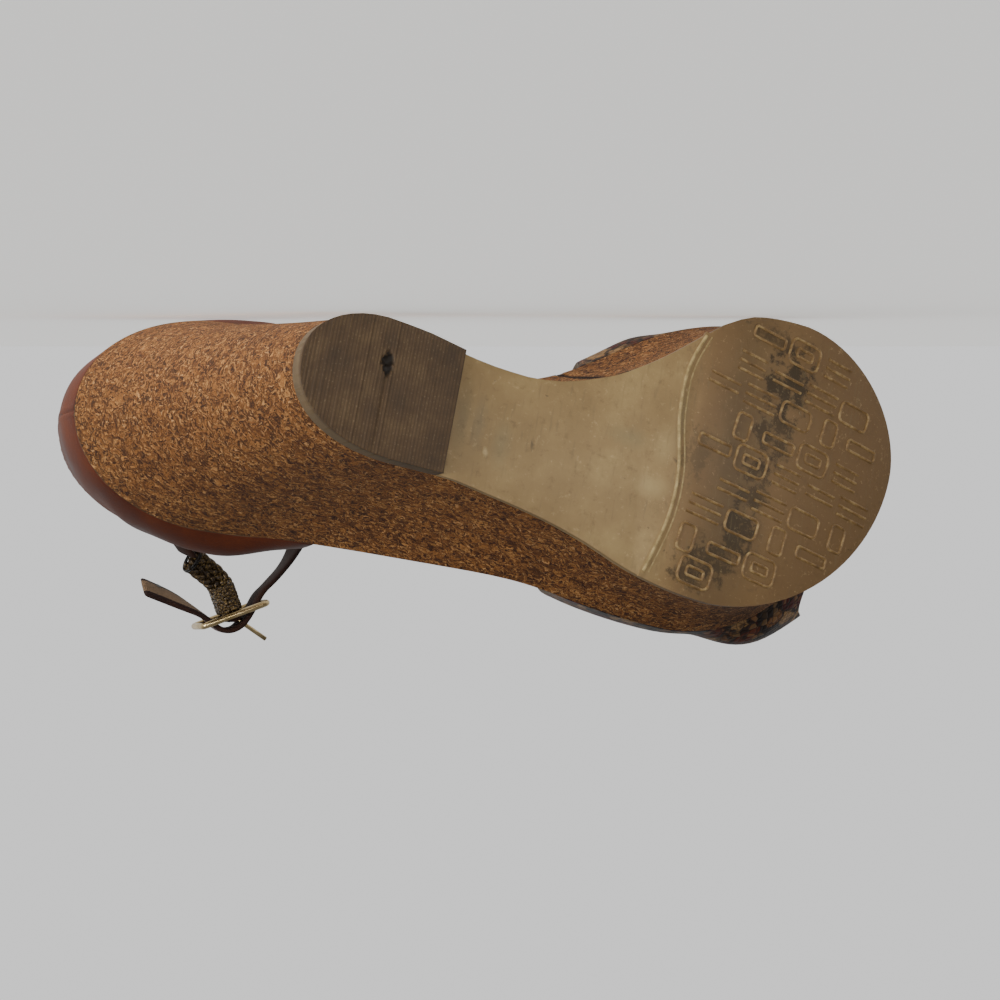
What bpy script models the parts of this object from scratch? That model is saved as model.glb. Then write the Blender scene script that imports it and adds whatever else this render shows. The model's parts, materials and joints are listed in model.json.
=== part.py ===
"""Left peep-toe wedge sandal, lying on its medial side.

Every piece is modelled upright in the shoe's own frame, in millimetres: X runs from the back of the
counter to the toe, Y towards the lateral side, Z up from the ground. One empty then lays the shoe on
the facet of its outline that carries it, with the origin under the middle of its box.
"""

import math

import bmesh
import bpy
from mathutils import Matrix, Vector

MM = 0.001
GAP = 0.3

# Main sizes of the shoe.
HEEL_TIP_X = 43.0
TOE_TIP_X = 232.0
RIM_BACK_X = 4.4
RIM_TOE_X = 233.0
LIFT_FRONT_X = 87.5
LIFT_HEIGHT = 6.5
LIFT_BEVEL = 0.8
OUTSOLE_THICKNESS = 2.5
TOE_SPRING = 3.0
TOE_SPRING_START_X = 185.0
WALL_HOLLOW = 1.6
INSOLE_THICKNESS = 2.5
INSOLE_INSET = 2.9
UPPER_WALL = 2.0
RIB_WIDTH = 1.4

# Straps and buckle.
STRAP_WIDTH = 11.0
STRAP_THICKNESS = 2.0
BRAID_RADIUS = 3.4
BRAID_LOBE = 1.1
BRAID_RIDGE = 0.35
BRAID_PITCH = 9.0
BUCKLE_LENGTH = 25.5
BUCKLE_WIDTH = 17.0
BUCKLE_CORNER = 3.0
BUCKLE_BAR_RADIUS = 1.1
PRONG_RADIUS = 0.75
PRONG_REACH = 15.0
PRONG_ANGLE = math.radians(54)
LOOP_WALL = 1.2
LOOP_WIDTH = 9.0
LOOP_REACH = 8.0
BUCKLE_CENTRE = Vector((79.3, 55.5, 150.0))
BUCKLE_TO_TAIL = Vector((-0.85, 0.52, 0.0)).normalized()
BUCKLE_ACROSS = Vector((0.0, 0.0, 1.0))
BUCKLE_OUT = BUCKLE_TO_TAIL.cross(BUCKLE_ACROSS)

# Mesh fineness.
OUTLINE_STEPS = 40
WALL_STEPS = 6
SUPPORT_SIDE = Vector((0.0, -1.0, 0.0))


def table(columns, *rows):
    """A small table: one list for each named column."""
    return {name: [row[i] for row in rows] for i, name in enumerate(columns.split())}


# Height of the seat, arch and platform above the ground.
SEAT = table(
    "x height",
    (0, 95.0), (20, 93.0), (40, 89.5), (60, 83.0), (80, 71.0), (95, 59.0), (110, 47.5),
    (125, 38.5), (140, 32.5), (155, 29.0), (170, 27.0), (185, 26.0), (200, 25.5),
    (215, 26.0), (235, 27.8),
)

# Underside of the wedge: flat over the lift, lifted in the waist, flat again under the ball.
UNDERSIDE = table(
    "x height",
    (40, 6.8), (86, 6.8), (92, 7.0), (110, 6.6), (130, 5.0), (150, 3.4), (162, 2.8), (235, 2.8),
)

# Outlines in plan. A tip is a quarter of a superellipse: its centre, its two half-axes and its power.
FOOTPRINT_MEDIAL = table(
    "x y",
    (65, -19.4), (76, -18.6), (88, -16.7), (100, -15.5), (108, -15.3), (118, -16.5), (126, -19.0),
    (133, -21.8), (144, -28.5), (151, -33.8), (159, -40.5), (168, -47.5), (176, -51.0),
    (185, -52.4), (192, -52.8),
)
FOOTPRINT_LATERAL = table(
    "x y",
    (75, 17.4), (89, 17.4), (102, 19.0), (118, 21.7), (132, 25.4), (148, 30.9), (158, 33.2),
    (166, 34.3), (174, 34.8),
)
RIM_MEDIAL = table(
    "x y",
    (48, -28.0), (60, -27.3), (72, -26.3), (82, -24.8), (95, -23.2), (104, -22.5), (113, -22.2),
    (121, -22.8), (127, -24.3), (132, -26.9), (138, -31.0), (144, -35.0), (150, -39.6),
    (155, -43.2), (160, -46.2), (170, -51.0), (182, -54.5), (194, -55.6),
)
RIM_LATERAL = table(
    "x y",
    (46, 37.0), (58, 36.4), (70, 35.2), (82, 35.2), (104, 35.8), (127, 36.3), (137, 37.4),
    (144, 38.8), (154, 40.2), (168, 41.5), (176, 41.7),
)
TIPS = table(
    "edge centre_x centre_y reach half_width power",
    ("foot_heel_medial", 65.0, -3.5, 22.0, -15.9, 2.1),
    ("foot_heel_lateral", 75.0, -3.5, 32.0, 20.9, 2.2),
    ("foot_toe_medial", 192.0, -17.5, 40.0, -35.3, 1.87),
    ("foot_toe_lateral", 174.0, -17.5, 58.0, 52.3, 1.85),
    ("rim_heel_medial", 48.0, 5.0, 43.6, -33.0, 2.0),
    ("rim_heel_lateral", 46.0, 5.0, 41.6, 32.0, 2.0),
    ("rim_toe_medial", 194.0, -17.0, 39.0, -38.6, 1.9),
    ("rim_toe_lateral", 176.0, -17.0, 57.0, 58.7, 1.9),
)

# The counter: how far it swells past the rim, and how high its top line stands over the seat.
COUNTER_LATERAL = table(
    "x swell top",
    (4, 1.6, 49), (12, 2.1, 49), (24, 2.6, 49), (39, 3.4, 47), (51, 5.4, 43), (58, 5.8, 37),
    (64, 4.9, 29), (71, 2.7, 23), (79, 0.6, 14),
)
COUNTER_MEDIAL = table(
    "x swell top",
    (4, 1.6, 49), (13, -0.6, 49), (26, 0.2, 48), (37, 1.6, 47), (49, 4.0, 46), (60, 6.0, 44),
    (67, 5.2, 39), (74, 3.2, 28), (80, 0.6, 14),
)
COUNTER_SECTION = table(
    "height swell lean",
    (0, 0.0, 0.0), (3, 0.45, 0.0), (7, 0.82, 0.0), (12, 1.0, 0.0), (20, 1.0, 0.8), (35, 0.95, 3.2),
    (50, 0.9, 6.0),
)

# The vamp, from its back edge (0) to its front edge (1): where each foot meets the rim, how far the
# leather swells past it, and where and how high the crown stands over the platform.
VAMP = table(
    "run lateral_x lateral_swell medial_x medial_swell crown_x crown_height flare",
    (0.0, 142, -1.2, 137, 4.6, 156, 56, 0.0),
    (0.2, 154, -0.2, 150, 5.4, 165, 53, 0.0),
    (0.4, 168, 0.2, 164, 1.2, 175, 49, 0.0),
    (0.7, 190, 1.2, 190, -0.4, 192, 41, 1.0),
    (0.86, 208, 12.0, 203, 0.6, 204, 37, 7.0),
    (1.0, 228, 23.0, 213, 1.6, 214, 32, 17.0),
)
VAMP_SQUARENESS = 0.72
VAMP_SWELL_HEIGHT = 4.5

# Route of the ankle strap: from inside the counter's medial wing, over the instep, to the buckle.
STRAP_IN_WING = table("x z", (48, 112), (56, 119), (64, 127))
STRAP_OVER_INSTEP = table(
    "x y z out_x out_y out_z",
    (77, -28.0, 141, 0.3, -1.0, 0.1),
    (89, -20.0, 155, 0.7, -0.8, 0.3),
    (99, -4.0, 164, 0.9, -0.2, 0.4),
    (103, 14.0, 163, 0.9, 0.3, 0.4),
)
# Its stretch in the buckle, in the buckle's own frame, then its free tail.
STRAP_IN_BUCKLE = table(
    "to_tail out across lean",
    (-29.5, -11.6, 7.0, 0), (-18.0, -5.9, 2.0, 0), (-11.5, -3.1, 0.5, 0), (-5.0, 2.4, 0.0, 0),
    (0.5, 4.9, 0.0, 2), (5.4, 3.2, 0.0, 4), (9.8, -3.6, -0.3, 10), (17.0, -11.4, -1.5, 26),
    (26.0, -19.4, -3.5, 31),
)

# Route of the leather tab inside the counter's lateral wing, then of the braid to the buckle's loop.
TAB = table(
    "x y z out_x out_y out_z",
    (36, 31.3, 119, 0, 1, 0.2), (43, 31.5, 127, 0, 1, 0.2), (50, 33.4, 136, -0.3, 1, 0.1),
    (58.8, 39.7, 140.7, -0.5, 0.9, 0),
)
BRAID = table("x y z", (60.0, 40.6, 141.5), (65.2, 42.4, 145.4), (70.6, 44.4, 149.0))

# The rib where the tread starts, across the sole from its medial to its lateral edge.
RIB = table(
    "x y",
    (160.0, -41.8), (155.5, -30.0), (155.0, -16.0), (157.5, 0.0), (156.5, 14.0), (151.0, 31.8),
)

FINISHES = table(
    "name colour roughness metallic density",
    ("khaki_rubber", (0.25, 0.18, 0.08), 0.7, 0.0, 1.15),
    ("brown_rubber", (0.05, 0.032, 0.018), 0.8, 0.0, 1.2),
    ("cork", (0.42, 0.25, 0.12), 0.85, 0.0, 0.33),
    ("insole_leather", (0.45, 0.26, 0.14), 0.6, 0.0, 0.6),
    ("cognac_leather", (0.22, 0.06, 0.022), 0.42, 0.0, 0.9),
    ("patchwork_leather", (0.16, 0.06, 0.03), 0.45, 0.0, 0.9),
    ("strap_leather", (0.17, 0.05, 0.03), 0.45, 0.0, 0.9),
    ("bronze_braid", (0.17, 0.11, 0.05), 0.4, 0.3, 0.8),
    ("champagne_metal", (0.75, 0.66, 0.48), 0.25, 1.0, 6.6),
)


def smooth(rows, column, x, key="x"):
    """The column's value at x, on a smooth curve through the rows that never overshoots them."""
    xs, ys = rows[key], rows[column]
    if x <= xs[0]:
        return ys[0]
    if x >= xs[-1]:
        return ys[-1]
    last = len(xs) - 1
    slopes = [(ys[i + 1] - ys[i]) / (xs[i + 1] - xs[i]) for i in range(last)]
    turns = [0.0] * (last + 1)
    turns[0], turns[last] = slopes[0], slopes[-1]
    for i in range(1, last):
        before, after = slopes[i - 1], slopes[i]
        turns[i] = 0.0 if before * after <= 0 else 2 * before * after / (before + after)
    i = max(j for j in range(last) if xs[j] <= x)
    span = xs[i + 1] - xs[i]
    t = (x - xs[i]) / span
    return (
        ys[i] * (1 + 2 * t) * (1 - t) ** 2
        + turns[i] * span * t * (1 - t) ** 2
        + ys[i + 1] * t * t * (3 - 2 * t)
        - turns[i + 1] * span * t * t * (1 - t)
    )


def tip_y(edge, x):
    """Y of a rounded tip of an outline at x."""
    row = {name: TIPS[name][TIPS["edge"].index(edge)] for name in TIPS}
    along = min(1.0, abs(x - row["centre_x"]) / row["reach"])
    return row["centre_y"] + row["half_width"] * (1 - along ** row["power"]) ** (1 / row["power"])


def outline_y(outline, side, x):
    """Y of the footprint's or the rim's edge at x."""
    middle = {
        ("foot", "medial"): FOOTPRINT_MEDIAL, ("foot", "lateral"): FOOTPRINT_LATERAL,
        ("rim", "medial"): RIM_MEDIAL, ("rim", "lateral"): RIM_LATERAL,
    }[(outline, side)]
    if x < middle["x"][0]:
        return tip_y(f"{outline}_heel_{side}", x)
    if x > middle["x"][-1]:
        return tip_y(f"{outline}_toe_{side}", x)
    return smooth(middle, "y", x)


def seat_height(x):
    return smooth(SEAT, "height", x)


def underside_height(x):
    rise = max(0.0, (x - TOE_SPRING_START_X) / (TOE_TIP_X - TOE_SPRING_START_X))
    return smooth(UNDERSIDE, "height", x) + TOE_SPRING * rise * rise


def foot_x(u):
    return HEEL_TIP_X + (TOE_TIP_X - HEEL_TIP_X) * u


def rim_x(u):
    """The rim overhangs the heel's foot at the back, and the two come together forwards."""
    overhang = HEEL_TIP_X - RIM_BACK_X
    return HEEL_TIP_X + (RIM_TOE_X - HEEL_TIP_X) * u - overhang * (1 - u) ** 3


def stations(count, first=0.0, last=1.0):
    """Steps from first to last, closer together at both ends."""
    return [first + (last - first) * (1 - math.cos(math.pi * i / count)) / 2 for i in range(count + 1)]


def finish(name):
    i = FINISHES["name"].index(name)
    material = bpy.data.materials.get(name) or bpy.data.materials.new(name)
    material.use_nodes = True
    shader = material.node_tree.nodes["Principled BSDF"]
    shader.inputs["Base Color"].default_value = (*FINISHES["colour"][i], 1.0)
    shader.inputs["Roughness"].default_value = FINISHES["roughness"][i]
    shader.inputs["Metallic"].default_value = FINISHES["metallic"][i]
    return material


def as_object(name, bm, finish_name, sharp=40):
    """A closed bmesh in millimetres becomes a named object in metres, its faces pointing out."""
    bmesh.ops.recalc_face_normals(bm, faces=bm.faces)
    bmesh.ops.triangulate(bm, faces=[face for face in bm.faces if len(face.verts) > 4])
    bmesh.ops.scale(bm, vec=(MM, MM, MM), verts=bm.verts)
    mesh = bpy.data.meshes.new(name)
    bm.to_mesh(mesh)
    bm.free()
    mesh.shade_smooth()
    mesh.set_sharp_from_angle(angle=math.radians(sharp))
    mesh.materials.append(finish(finish_name))
    piece = bpy.data.objects.new(name, mesh)
    bpy.context.scene.collection.objects.link(piece)
    return piece


def bridge(bm, rings, closed_rings):
    """Joins each ring of vertices to the next with quads."""
    for near, far in zip(rings, rings[1:]):
        count = len(near)
        for i in range(count if closed_rings else count - 1):
            j = (i + 1) % count
            bm.faces.new((near[i], near[j], far[j], far[i]))


def loft(rings):
    """A closed tube through rings of points, with a flat cap at each end."""
    bm = bmesh.new()
    made = [[bm.verts.new(point) for point in ring] for ring in rings]
    bridge(bm, made, True)
    bm.faces.new(made[0])
    bm.faces.new(reversed(made[-1]))
    return bm


def slab(lower, upper, walls):
    """A solid between two outlines, each a list of (medial, lateral) pairs from heel to toe, with
    rows of wall points between them. Its floor and its top are strips from side to side."""
    bm = bmesh.new()
    loops = []
    for level in (lower, *walls, upper):
        medial = [bm.verts.new(pair[0]) for pair in level]
        lateral = [bm.verts.new(pair[1]) for pair in level]
        loops.append((medial, lateral))
    for medial, lateral in (loops[0], loops[-1]):
        for i in range(len(medial) - 1):
            bm.faces.new((medial[i], medial[i + 1], lateral[i + 1], lateral[i]))
    bridge(bm, [medial + lateral[::-1] for medial, lateral in loops], True)
    bmesh.ops.remove_doubles(bm, verts=bm.verts, dist=0.02)
    bmesh.ops.recalc_face_normals(bm, faces=bm.faces)
    return bm


def sheet_with_wall(outer, inner):
    """A wall between two grids of points of the same size, closed along its four edges."""
    bm = bmesh.new()
    out_rows = [[bm.verts.new(point) for point in row] for row in outer]
    in_rows = [[bm.verts.new(point) for point in row] for row in inner]
    bridge(bm, out_rows, False)
    bridge(bm, in_rows, False)
    for out_edge, in_edge in (
        (out_rows[0], in_rows[0]),
        (out_rows[-1], in_rows[-1]),
        ([row[0] for row in out_rows], [row[0] for row in in_rows]),
        ([row[-1] for row in out_rows], [row[-1] for row in in_rows]),
    ):
        bridge(bm, [out_edge, in_edge], False)
    return bm


def curve_through(points, steps):
    """Points on a smooth curve through the given ones."""
    padded = [points[0] * 2 - points[1], *points, points[-1] * 2 - points[-2]]
    found = []
    for a, b, c, d in zip(padded, padded[1:], padded[2:], padded[3:]):
        for i in range(steps):
            t = i / steps
            found.append(
                0.5 * (2 * b + (c - a) * t + (2 * a - 5 * b + 4 * c - d) * t**2
                       + (3 * b - a - 3 * c + d) * t**3)
            )
    return [*found, points[-1].copy()]


def frames(path, outward):
    """Tangent, outward and across directions at each point of a path."""
    found = []
    for i, out in enumerate(outward):
        tangent = (path[min(i + 1, len(path) - 1)] - path[max(i - 1, 0)]).normalized()
        out = (out - tangent * out.dot(tangent)).normalized()
        found.append((tangent, out, tangent.cross(out)))
    return found


def wedge():
    """Cork platform and heel: the wall runs from the footprint up and out to the rim."""
    us = stations(OUTLINE_STEPS)
    levels = []
    for step in range(WALL_STEPS + 1):
        v = step / WALL_STEPS
        pairs = []
        for u in us:
            low_x, high_x = foot_x(u), rim_x(u)
            low_z, high_z = underside_height(low_x), seat_height(high_x)
            hollow = WALL_HOLLOW * 4 * v * (1 - v)
            pair = []
            for side, sign in (("medial", -1), ("lateral", 1)):
                x = low_x + (high_x - low_x) * v + hollow * (1 - u) ** 3
                low_y = outline_y("foot", side, low_x)
                high_y = outline_y("rim", side, high_x)
                inward = hollow * min(1.0, 6 * u) * min(1.0, 6 * (1 - u))
                y = low_y + (high_y - low_y) * v - sign * inward
                pair.append((x, y, low_z + (high_z - low_z) * v))
            pairs.append(pair)
        levels.append(pairs)
    bm = slab(levels[0], levels[-1], levels[1:-1])
    return as_object("wedge", bm, "cork")


def footprint_slab(xs, bottom, top):
    """A sheet under the wedge with the footprint's outline, between two heights given by x."""
    def pairs(height):
        return [
            [(x, outline_y("foot", side, x), height(x)) for side in ("medial", "lateral")] for x in xs
        ]
    return slab(pairs(bottom), pairs(top), [])


def heel_lift():
    """D-shaped top piece: rounded behind, cut straight across in front."""
    xs = [HEEL_TIP_X + (LIFT_FRONT_X - HEEL_TIP_X) * (i / 16) ** 2 for i in range(17)]
    bm = footprint_slab(xs, lambda x: 0.0, lambda x: LIFT_HEIGHT)
    rim = [edge for edge in bm.edges if all(vert.co.z < 0.01 for vert in edge.verts)]
    rim = [edge for edge in rim if any(abs(face.normal.z) < 0.5 for face in edge.link_faces)]
    bmesh.ops.bevel(
        bm, geom=rim, offset=LIFT_BEVEL, affect="EDGES", segments=2, profile=0.5, material=-1,
        clamp_overlap=True,
    )
    return as_object("heel_lift", bm, "brown_rubber")


def outsole():
    """Thin sole from the lift to the toe, with the rib where its tread starts."""
    def top(x):
        return underside_height(x) - GAP

    def bottom(x):
        return underside_height(x) - GAP - OUTSOLE_THICKNESS

    back = LIFT_FRONT_X + GAP
    xs = [back + (TOE_TIP_X - back) * math.sin(math.pi / 2 * i / 44) for i in range(45)]
    sole = as_object("outsole", footprint_slab(xs, bottom, top), "khaki_rubber")
    rib = rib_cutter()
    join = sole.modifiers.new("rib", "BOOLEAN")
    join.operation = "UNION"
    join.object = rib
    return sole


def rib_cutter():
    points = [Vector((x, y, 0.0)) for x, y in zip(RIB["x"], RIB["y"])]
    path = curve_through(points, 4)
    half = Vector((RIB_WIDTH / 2, 0, 0))
    rings = []
    for point in path:
        base = underside_height(point.x) - GAP - OUTSOLE_THICKNESS + 1.0
        rings.append([
            (point.x - half.x, point.y, 0.02), (point.x + half.x, point.y, 0.02),
            (point.x + half.x, point.y, base), (point.x - half.x, point.y, base),
        ])
    rib = as_object("tread_rib", loft(rings), "khaki_rubber")
    rib.hide_render = True
    rib.display_type = "WIRE"
    return rib


def insole():
    """Footbed sheet that follows the seat, inside the counter and the vamp."""
    xs = stations(OUTLINE_STEPS, RIM_BACK_X + INSOLE_INSET, RIM_TOE_X - INSOLE_INSET)

    def pairs(lift):
        found = []
        for x in xs:
            along = (x - xs[0]) / (xs[-1] - xs[0])
            rim = RIM_BACK_X + (RIM_TOE_X - RIM_BACK_X) * along
            pair = []
            for side, sign in (("medial", -1), ("lateral", 1)):
                y = outline_y("rim", side, rim)
                inset = INSOLE_INSET * min(1.0, math.sqrt(8 * along), math.sqrt(8 * (1 - along)))
                pair.append((x, y - sign * inset, seat_height(x) + lift))
            found.append(pair)
        return found

    bm = slab(pairs(GAP), pairs(GAP + INSOLE_THICKNESS), [])
    return as_object("insole", bm, "insole_leather")


def rim_path(lateral_end, medial_end, tip_steps, side_steps):
    """Rim points round the heel, from the lateral wing to the medial one, as (side, x) pairs."""
    found = []
    for side, end in (("lateral", lateral_end), ("medial", medial_end)):
        row = TIPS["edge"].index(f"rim_heel_{side}")
        centre, reach = TIPS["centre_x"][row], TIPS["reach"][row]
        tip = [centre - reach * math.cos(math.pi / 2 * i / tip_steps) for i in range(tip_steps + 1)]
        straight = [centre + (end - centre) * (i + 1) / side_steps for i in range(side_steps)]
        found.append([(side, x) for x in tip + straight])
    return found[0][:0:-1] + found[1]


def counter_offset(side, x, height):
    """How far the counter's outer face stands out from the rim, at a height over the seat."""
    rows = COUNTER_LATERAL if side == "lateral" else COUNTER_MEDIAL
    swell = smooth(rows, "swell", x) * smooth(COUNTER_SECTION, "swell", height, "height")
    return swell - smooth(COUNTER_SECTION, "lean", height, "height")


def counter():
    """Heel cup: it stands on the rim, swells past it and leans in again towards the ankle."""
    path = rim_path(79.0, 80.0, 10, 8)
    plan = [Vector((x, outline_y("rim", side, x), 0.0)) for side, x in path]
    outer, inner = [], []
    for i, (side, x) in enumerate(path):
        ahead = plan[min(i + 1, len(plan) - 1)] - plan[max(i - 1, 0)]
        out = Vector((-ahead.y, ahead.x, 0.0)).normalized() * -1
        out = out if out.dot(plan[i] - Vector((60, 5, 0))) > 0 else -out
        rows = COUNTER_LATERAL if side == "lateral" else COUNTER_MEDIAL
        top = smooth(rows, "top", x)
        out_row, in_row = [], []
        for step in range(11):
            height = top * (step / 10) ** 1.25
            base = Vector((plan[i].x, plan[i].y, seat_height(x) + GAP + height))
            offset = counter_offset(side, x, height)
            out_row.append(base + out * offset)
            in_row.append(base + out * (offset - UPPER_WALL))
        outer.append(out_row)
        inner.append(in_row)
    return as_object("counter", sheet_with_wall(outer, inner), "cognac_leather")


def vamp_point(run, turn):
    """A point of the vamp's outer face. Turn goes from 0 at its lateral foot to 1 at its medial foot."""
    lateral = turn < 0.5
    side = "lateral" if lateral else "medial"
    foot = smooth(VAMP, f"{side}_x", run, "run")
    crown = smooth(VAMP, "crown_x", run, "run")
    height = smooth(VAMP, "crown_height", run, "run")
    swell = smooth(VAMP, f"{side}_swell", run, "run")
    angle = math.pi * turn
    across = abs(math.cos(angle)) ** VAMP_SQUARENESS
    up = math.sin(angle) ** VAMP_SQUARENESS * height
    swell *= 1 - math.exp(-up / VAMP_SWELL_HEIGHT)
    x = foot + (crown - foot) * math.sin(angle) ** VAMP_SQUARENESS
    if lateral:
        x += smooth(VAMP, "flare", run, "run") * math.sin(min(math.pi, 2.8 * angle)) ** 1.5
    middle = (outline_y("rim", "lateral", foot) + outline_y("rim", "medial", foot)) / 2
    middle = middle * 0.5 - 3.5
    edge = outline_y("rim", side, foot) + (swell if lateral else -swell)
    y = middle + (edge - middle) * across
    z = seat_height(foot) * (1 - math.sin(angle)) + seat_height(crown) * math.sin(angle) + up
    return Vector((x, y, z + GAP))


def vamp():
    """Peep-toe band over the ball and toes, open in front, behind and underneath."""
    runs = [i / 14 for i in range(15)]
    turns = [(1 - math.cos(math.pi * i / 26)) / 2 * 0.6 + 0.4 * i / 26 for i in range(27)]
    outer = [[vamp_point(run, turn) for turn in turns] for run in runs]
    inner = []
    step = 0.01
    for run in runs:
        row = []
        for turn in turns:
            at = min(max(turn, 0.03), 0.97)
            along = vamp_point(min(run + step, 1), at) - vamp_point(max(run - step, 0), at)
            around = vamp_point(run, at + step) - vamp_point(run, at - step)
            normal = along.cross(around).normalized()
            centre = Vector((175, -6, 20))
            point = vamp_point(run, turn)
            if normal.dot(point - centre) < 0:
                normal = -normal
            if turn in (0.0, 1.0):
                normal = Vector((0, 1 if turn == 0.0 else -1, 0))
            row.append(point - normal * UPPER_WALL)
        inner.append(row)
    return as_object("vamp", sheet_with_wall(outer, inner), "patchwork_leather")


def in_buckle(to_tail, out, across):
    """A point given in the buckle's own frame."""
    return BUCKLE_CENTRE + BUCKLE_TO_TAIL * to_tail + BUCKLE_OUT * out + BUCKLE_ACROSS * across


def ribbon(path, outward, width, thickness):
    """A strap of rounded rectangular section along a path."""
    half, depth, soft = width / 2, thickness / 2, thickness * 0.3
    section = [
        (half, depth - soft), (half - soft, depth), (soft - half, depth), (-half, depth - soft),
        (-half, soft - depth), (soft - half, -depth), (half - soft, -depth), (half, soft - depth),
    ]
    rings = []
    for point, (_, out, across) in zip(path, frames(path, outward)):
        rings.append([point + across * a + out * o for a, o in section])
    return loft(rings)


def strap_route():
    """Centre points of the ankle strap and the side that its outer face looks to at each."""
    points, outward = [], []
    for x, z in zip(STRAP_IN_WING["x"], STRAP_IN_WING["z"]):
        face = outline_y("rim", "medial", x) - counter_offset("medial", x, z - seat_height(x))
        points.append(Vector((x, face + UPPER_WALL + GAP + 0.7 + STRAP_THICKNESS / 2, z)))
        outward.append(Vector((0.05, -1, 0.18)))
    for x, y, z, *out in zip(*STRAP_OVER_INSTEP.values()):
        points.append(Vector((x, y, z)))
        outward.append(Vector(out).normalized())
    rows = list(zip(*STRAP_IN_BUCKLE.values()))
    for i, (to_tail, out, across, lean) in enumerate(rows):
        before, after = rows[max(i - 1, 0)], rows[min(i + 1, len(rows) - 1)]
        run = Vector((after[0] - before[0], after[1] - before[1]))
        flat = (BUCKLE_OUT * run.x - BUCKLE_TO_TAIL * run.y).normalized()
        tilt = math.radians(lean)
        points.append(in_buckle(to_tail, out, across))
        outward.append(flat * math.cos(tilt) + BUCKLE_ACROSS * math.sin(tilt))
    steps = 4
    return curve_through(points, steps), curve_through(outward, steps)


def ankle_strap():
    """Leather strap with a hole where the prong goes through."""
    path, outward = strap_route()
    strap = as_object("ankle_strap", ribbon(path, outward, STRAP_WIDTH, STRAP_THICKNESS), "strap_leather")
    hole = tube_object("strap_hole", prong_pin(3.0), PRONG_RADIUS + GAP, 10, "strap_leather")
    hole.hide_render = True
    hole.display_type = "WIRE"
    cut = strap.modifiers.new("prong hole", "BOOLEAN")
    cut.operation = "DIFFERENCE"
    cut.object = hole
    return strap


def tube_rings(path, radius, sides, outward):
    rings = []
    for point, (_, out, across) in zip(path, frames(path, outward)):
        turn = [2 * math.pi * i / sides for i in range(sides)]
        rings.append([point + (out * math.cos(a) + across * math.sin(a)) * radius for a in turn])
    return rings


def tube_object(name, path, radius, sides, finish_name):
    return as_object(name, loft(tube_rings(path, radius, sides, [BUCKLE_ACROSS] * len(path))), finish_name)


def braid_tab():
    """Leather tab that carries the braid, sewn inside the counter's lateral wing."""
    rows = list(zip(*TAB.values()))
    path = curve_through([Vector(row[:3]) for row in rows], 5)
    outward = curve_through([Vector(row[3:]).normalized() for row in rows], 5)
    return as_object("braid_tab", ribbon(path, outward, STRAP_WIDTH, STRAP_THICKNESS), "strap_leather")


def braid_strap():
    """Two cords side by side as one wall, with the turns of their strands raised."""
    end = -LOOP_REACH - 2 * GAP
    route = [Vector(row) for row in zip(*BRAID.values())] + [in_buckle(0, end - 1.6, 0), in_buckle(0, end, 0)]
    path = curve_through(route, 6)
    travelled = 0.0
    rings = []
    sides = 16
    for i, (point, (_, out, across)) in enumerate(zip(path, frames(path, [BUCKLE_ACROSS] * len(path)))):
        travelled += (point - path[max(i - 1, 0)]).length
        ring = []
        for k in range(sides):
            angle = 2 * math.pi * k / sides
            ridge = math.cos(4 * angle - 2 * math.pi * travelled / BRAID_PITCH * 2)
            radius = BRAID_RADIUS + BRAID_LOBE * math.cos(2 * angle) + BRAID_RIDGE * ridge
            ring.append(point + (across * math.cos(angle) + out * math.sin(angle)) * radius)
        rings.append(ring)
    return as_object("braid_strap", loft(rings), "bronze_braid", 70)


def buckle_frame():
    """Rounded rectangle of round wire with a bar across its middle."""
    length = BUCKLE_LENGTH / 2 - BUCKLE_BAR_RADIUS
    width = BUCKLE_WIDTH / 2 - BUCKLE_BAR_RADIUS
    round_at = BUCKLE_CORNER - BUCKLE_BAR_RADIUS
    path, outward = [], []
    for quarter, (sx, sy) in enumerate(((1, 1), (-1, 1), (-1, -1), (1, -1))):
        for i in range(5):
            angle = math.pi / 2 * (quarter + i / 4)
            spot = (
                sx * (length - round_at) + round_at * math.cos(angle),
                sy * (width - round_at) + round_at * math.sin(angle),
            )
            path.append(in_buckle(spot[0], 0, spot[1]))
            outward.append(BUCKLE_TO_TAIL * math.cos(angle) + BUCKLE_ACROSS * math.sin(angle))
    bm = bmesh.new()
    rings = []
    for point, out in zip(path, outward):
        turn = [2 * math.pi * i / 10 for i in range(10)]
        spots = [point + (out * math.cos(a) + BUCKLE_OUT * math.sin(a)) * BUCKLE_BAR_RADIUS for a in turn]
        rings.append([bm.verts.new(spot) for spot in spots])
    bridge(bm, [*rings, rings[0]], True)
    frame = as_object("buckle_frame", bm, "champagne_metal", 60)
    bar_path = [in_buckle(0, 0, -width), in_buckle(0, 0, width)]
    bar = as_object(
        "centre_bar", loft(tube_rings(bar_path, BUCKLE_BAR_RADIUS * 0.9, 12, [BUCKLE_OUT] * 2)),
        "champagne_metal",
    )
    bar.hide_render = True
    bar.display_type = "WIRE"
    join = frame.modifiers.new("bar", "BOOLEAN")
    join.operation = "UNION"
    join.object = bar
    return frame


def prong_pin(extra=0.0):
    """The straight part of the prong, from the bar outwards and towards the toe."""
    ring = BUCKLE_BAR_RADIUS * 0.9 + GAP + PRONG_RADIUS
    away = (-math.cos(PRONG_ANGLE), math.sin(PRONG_ANGLE))
    start = (ring * 0.9, PRONG_REACH + extra)
    return [in_buckle(away[0] * reach, away[1] * reach, 0) for reach in start]


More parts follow.
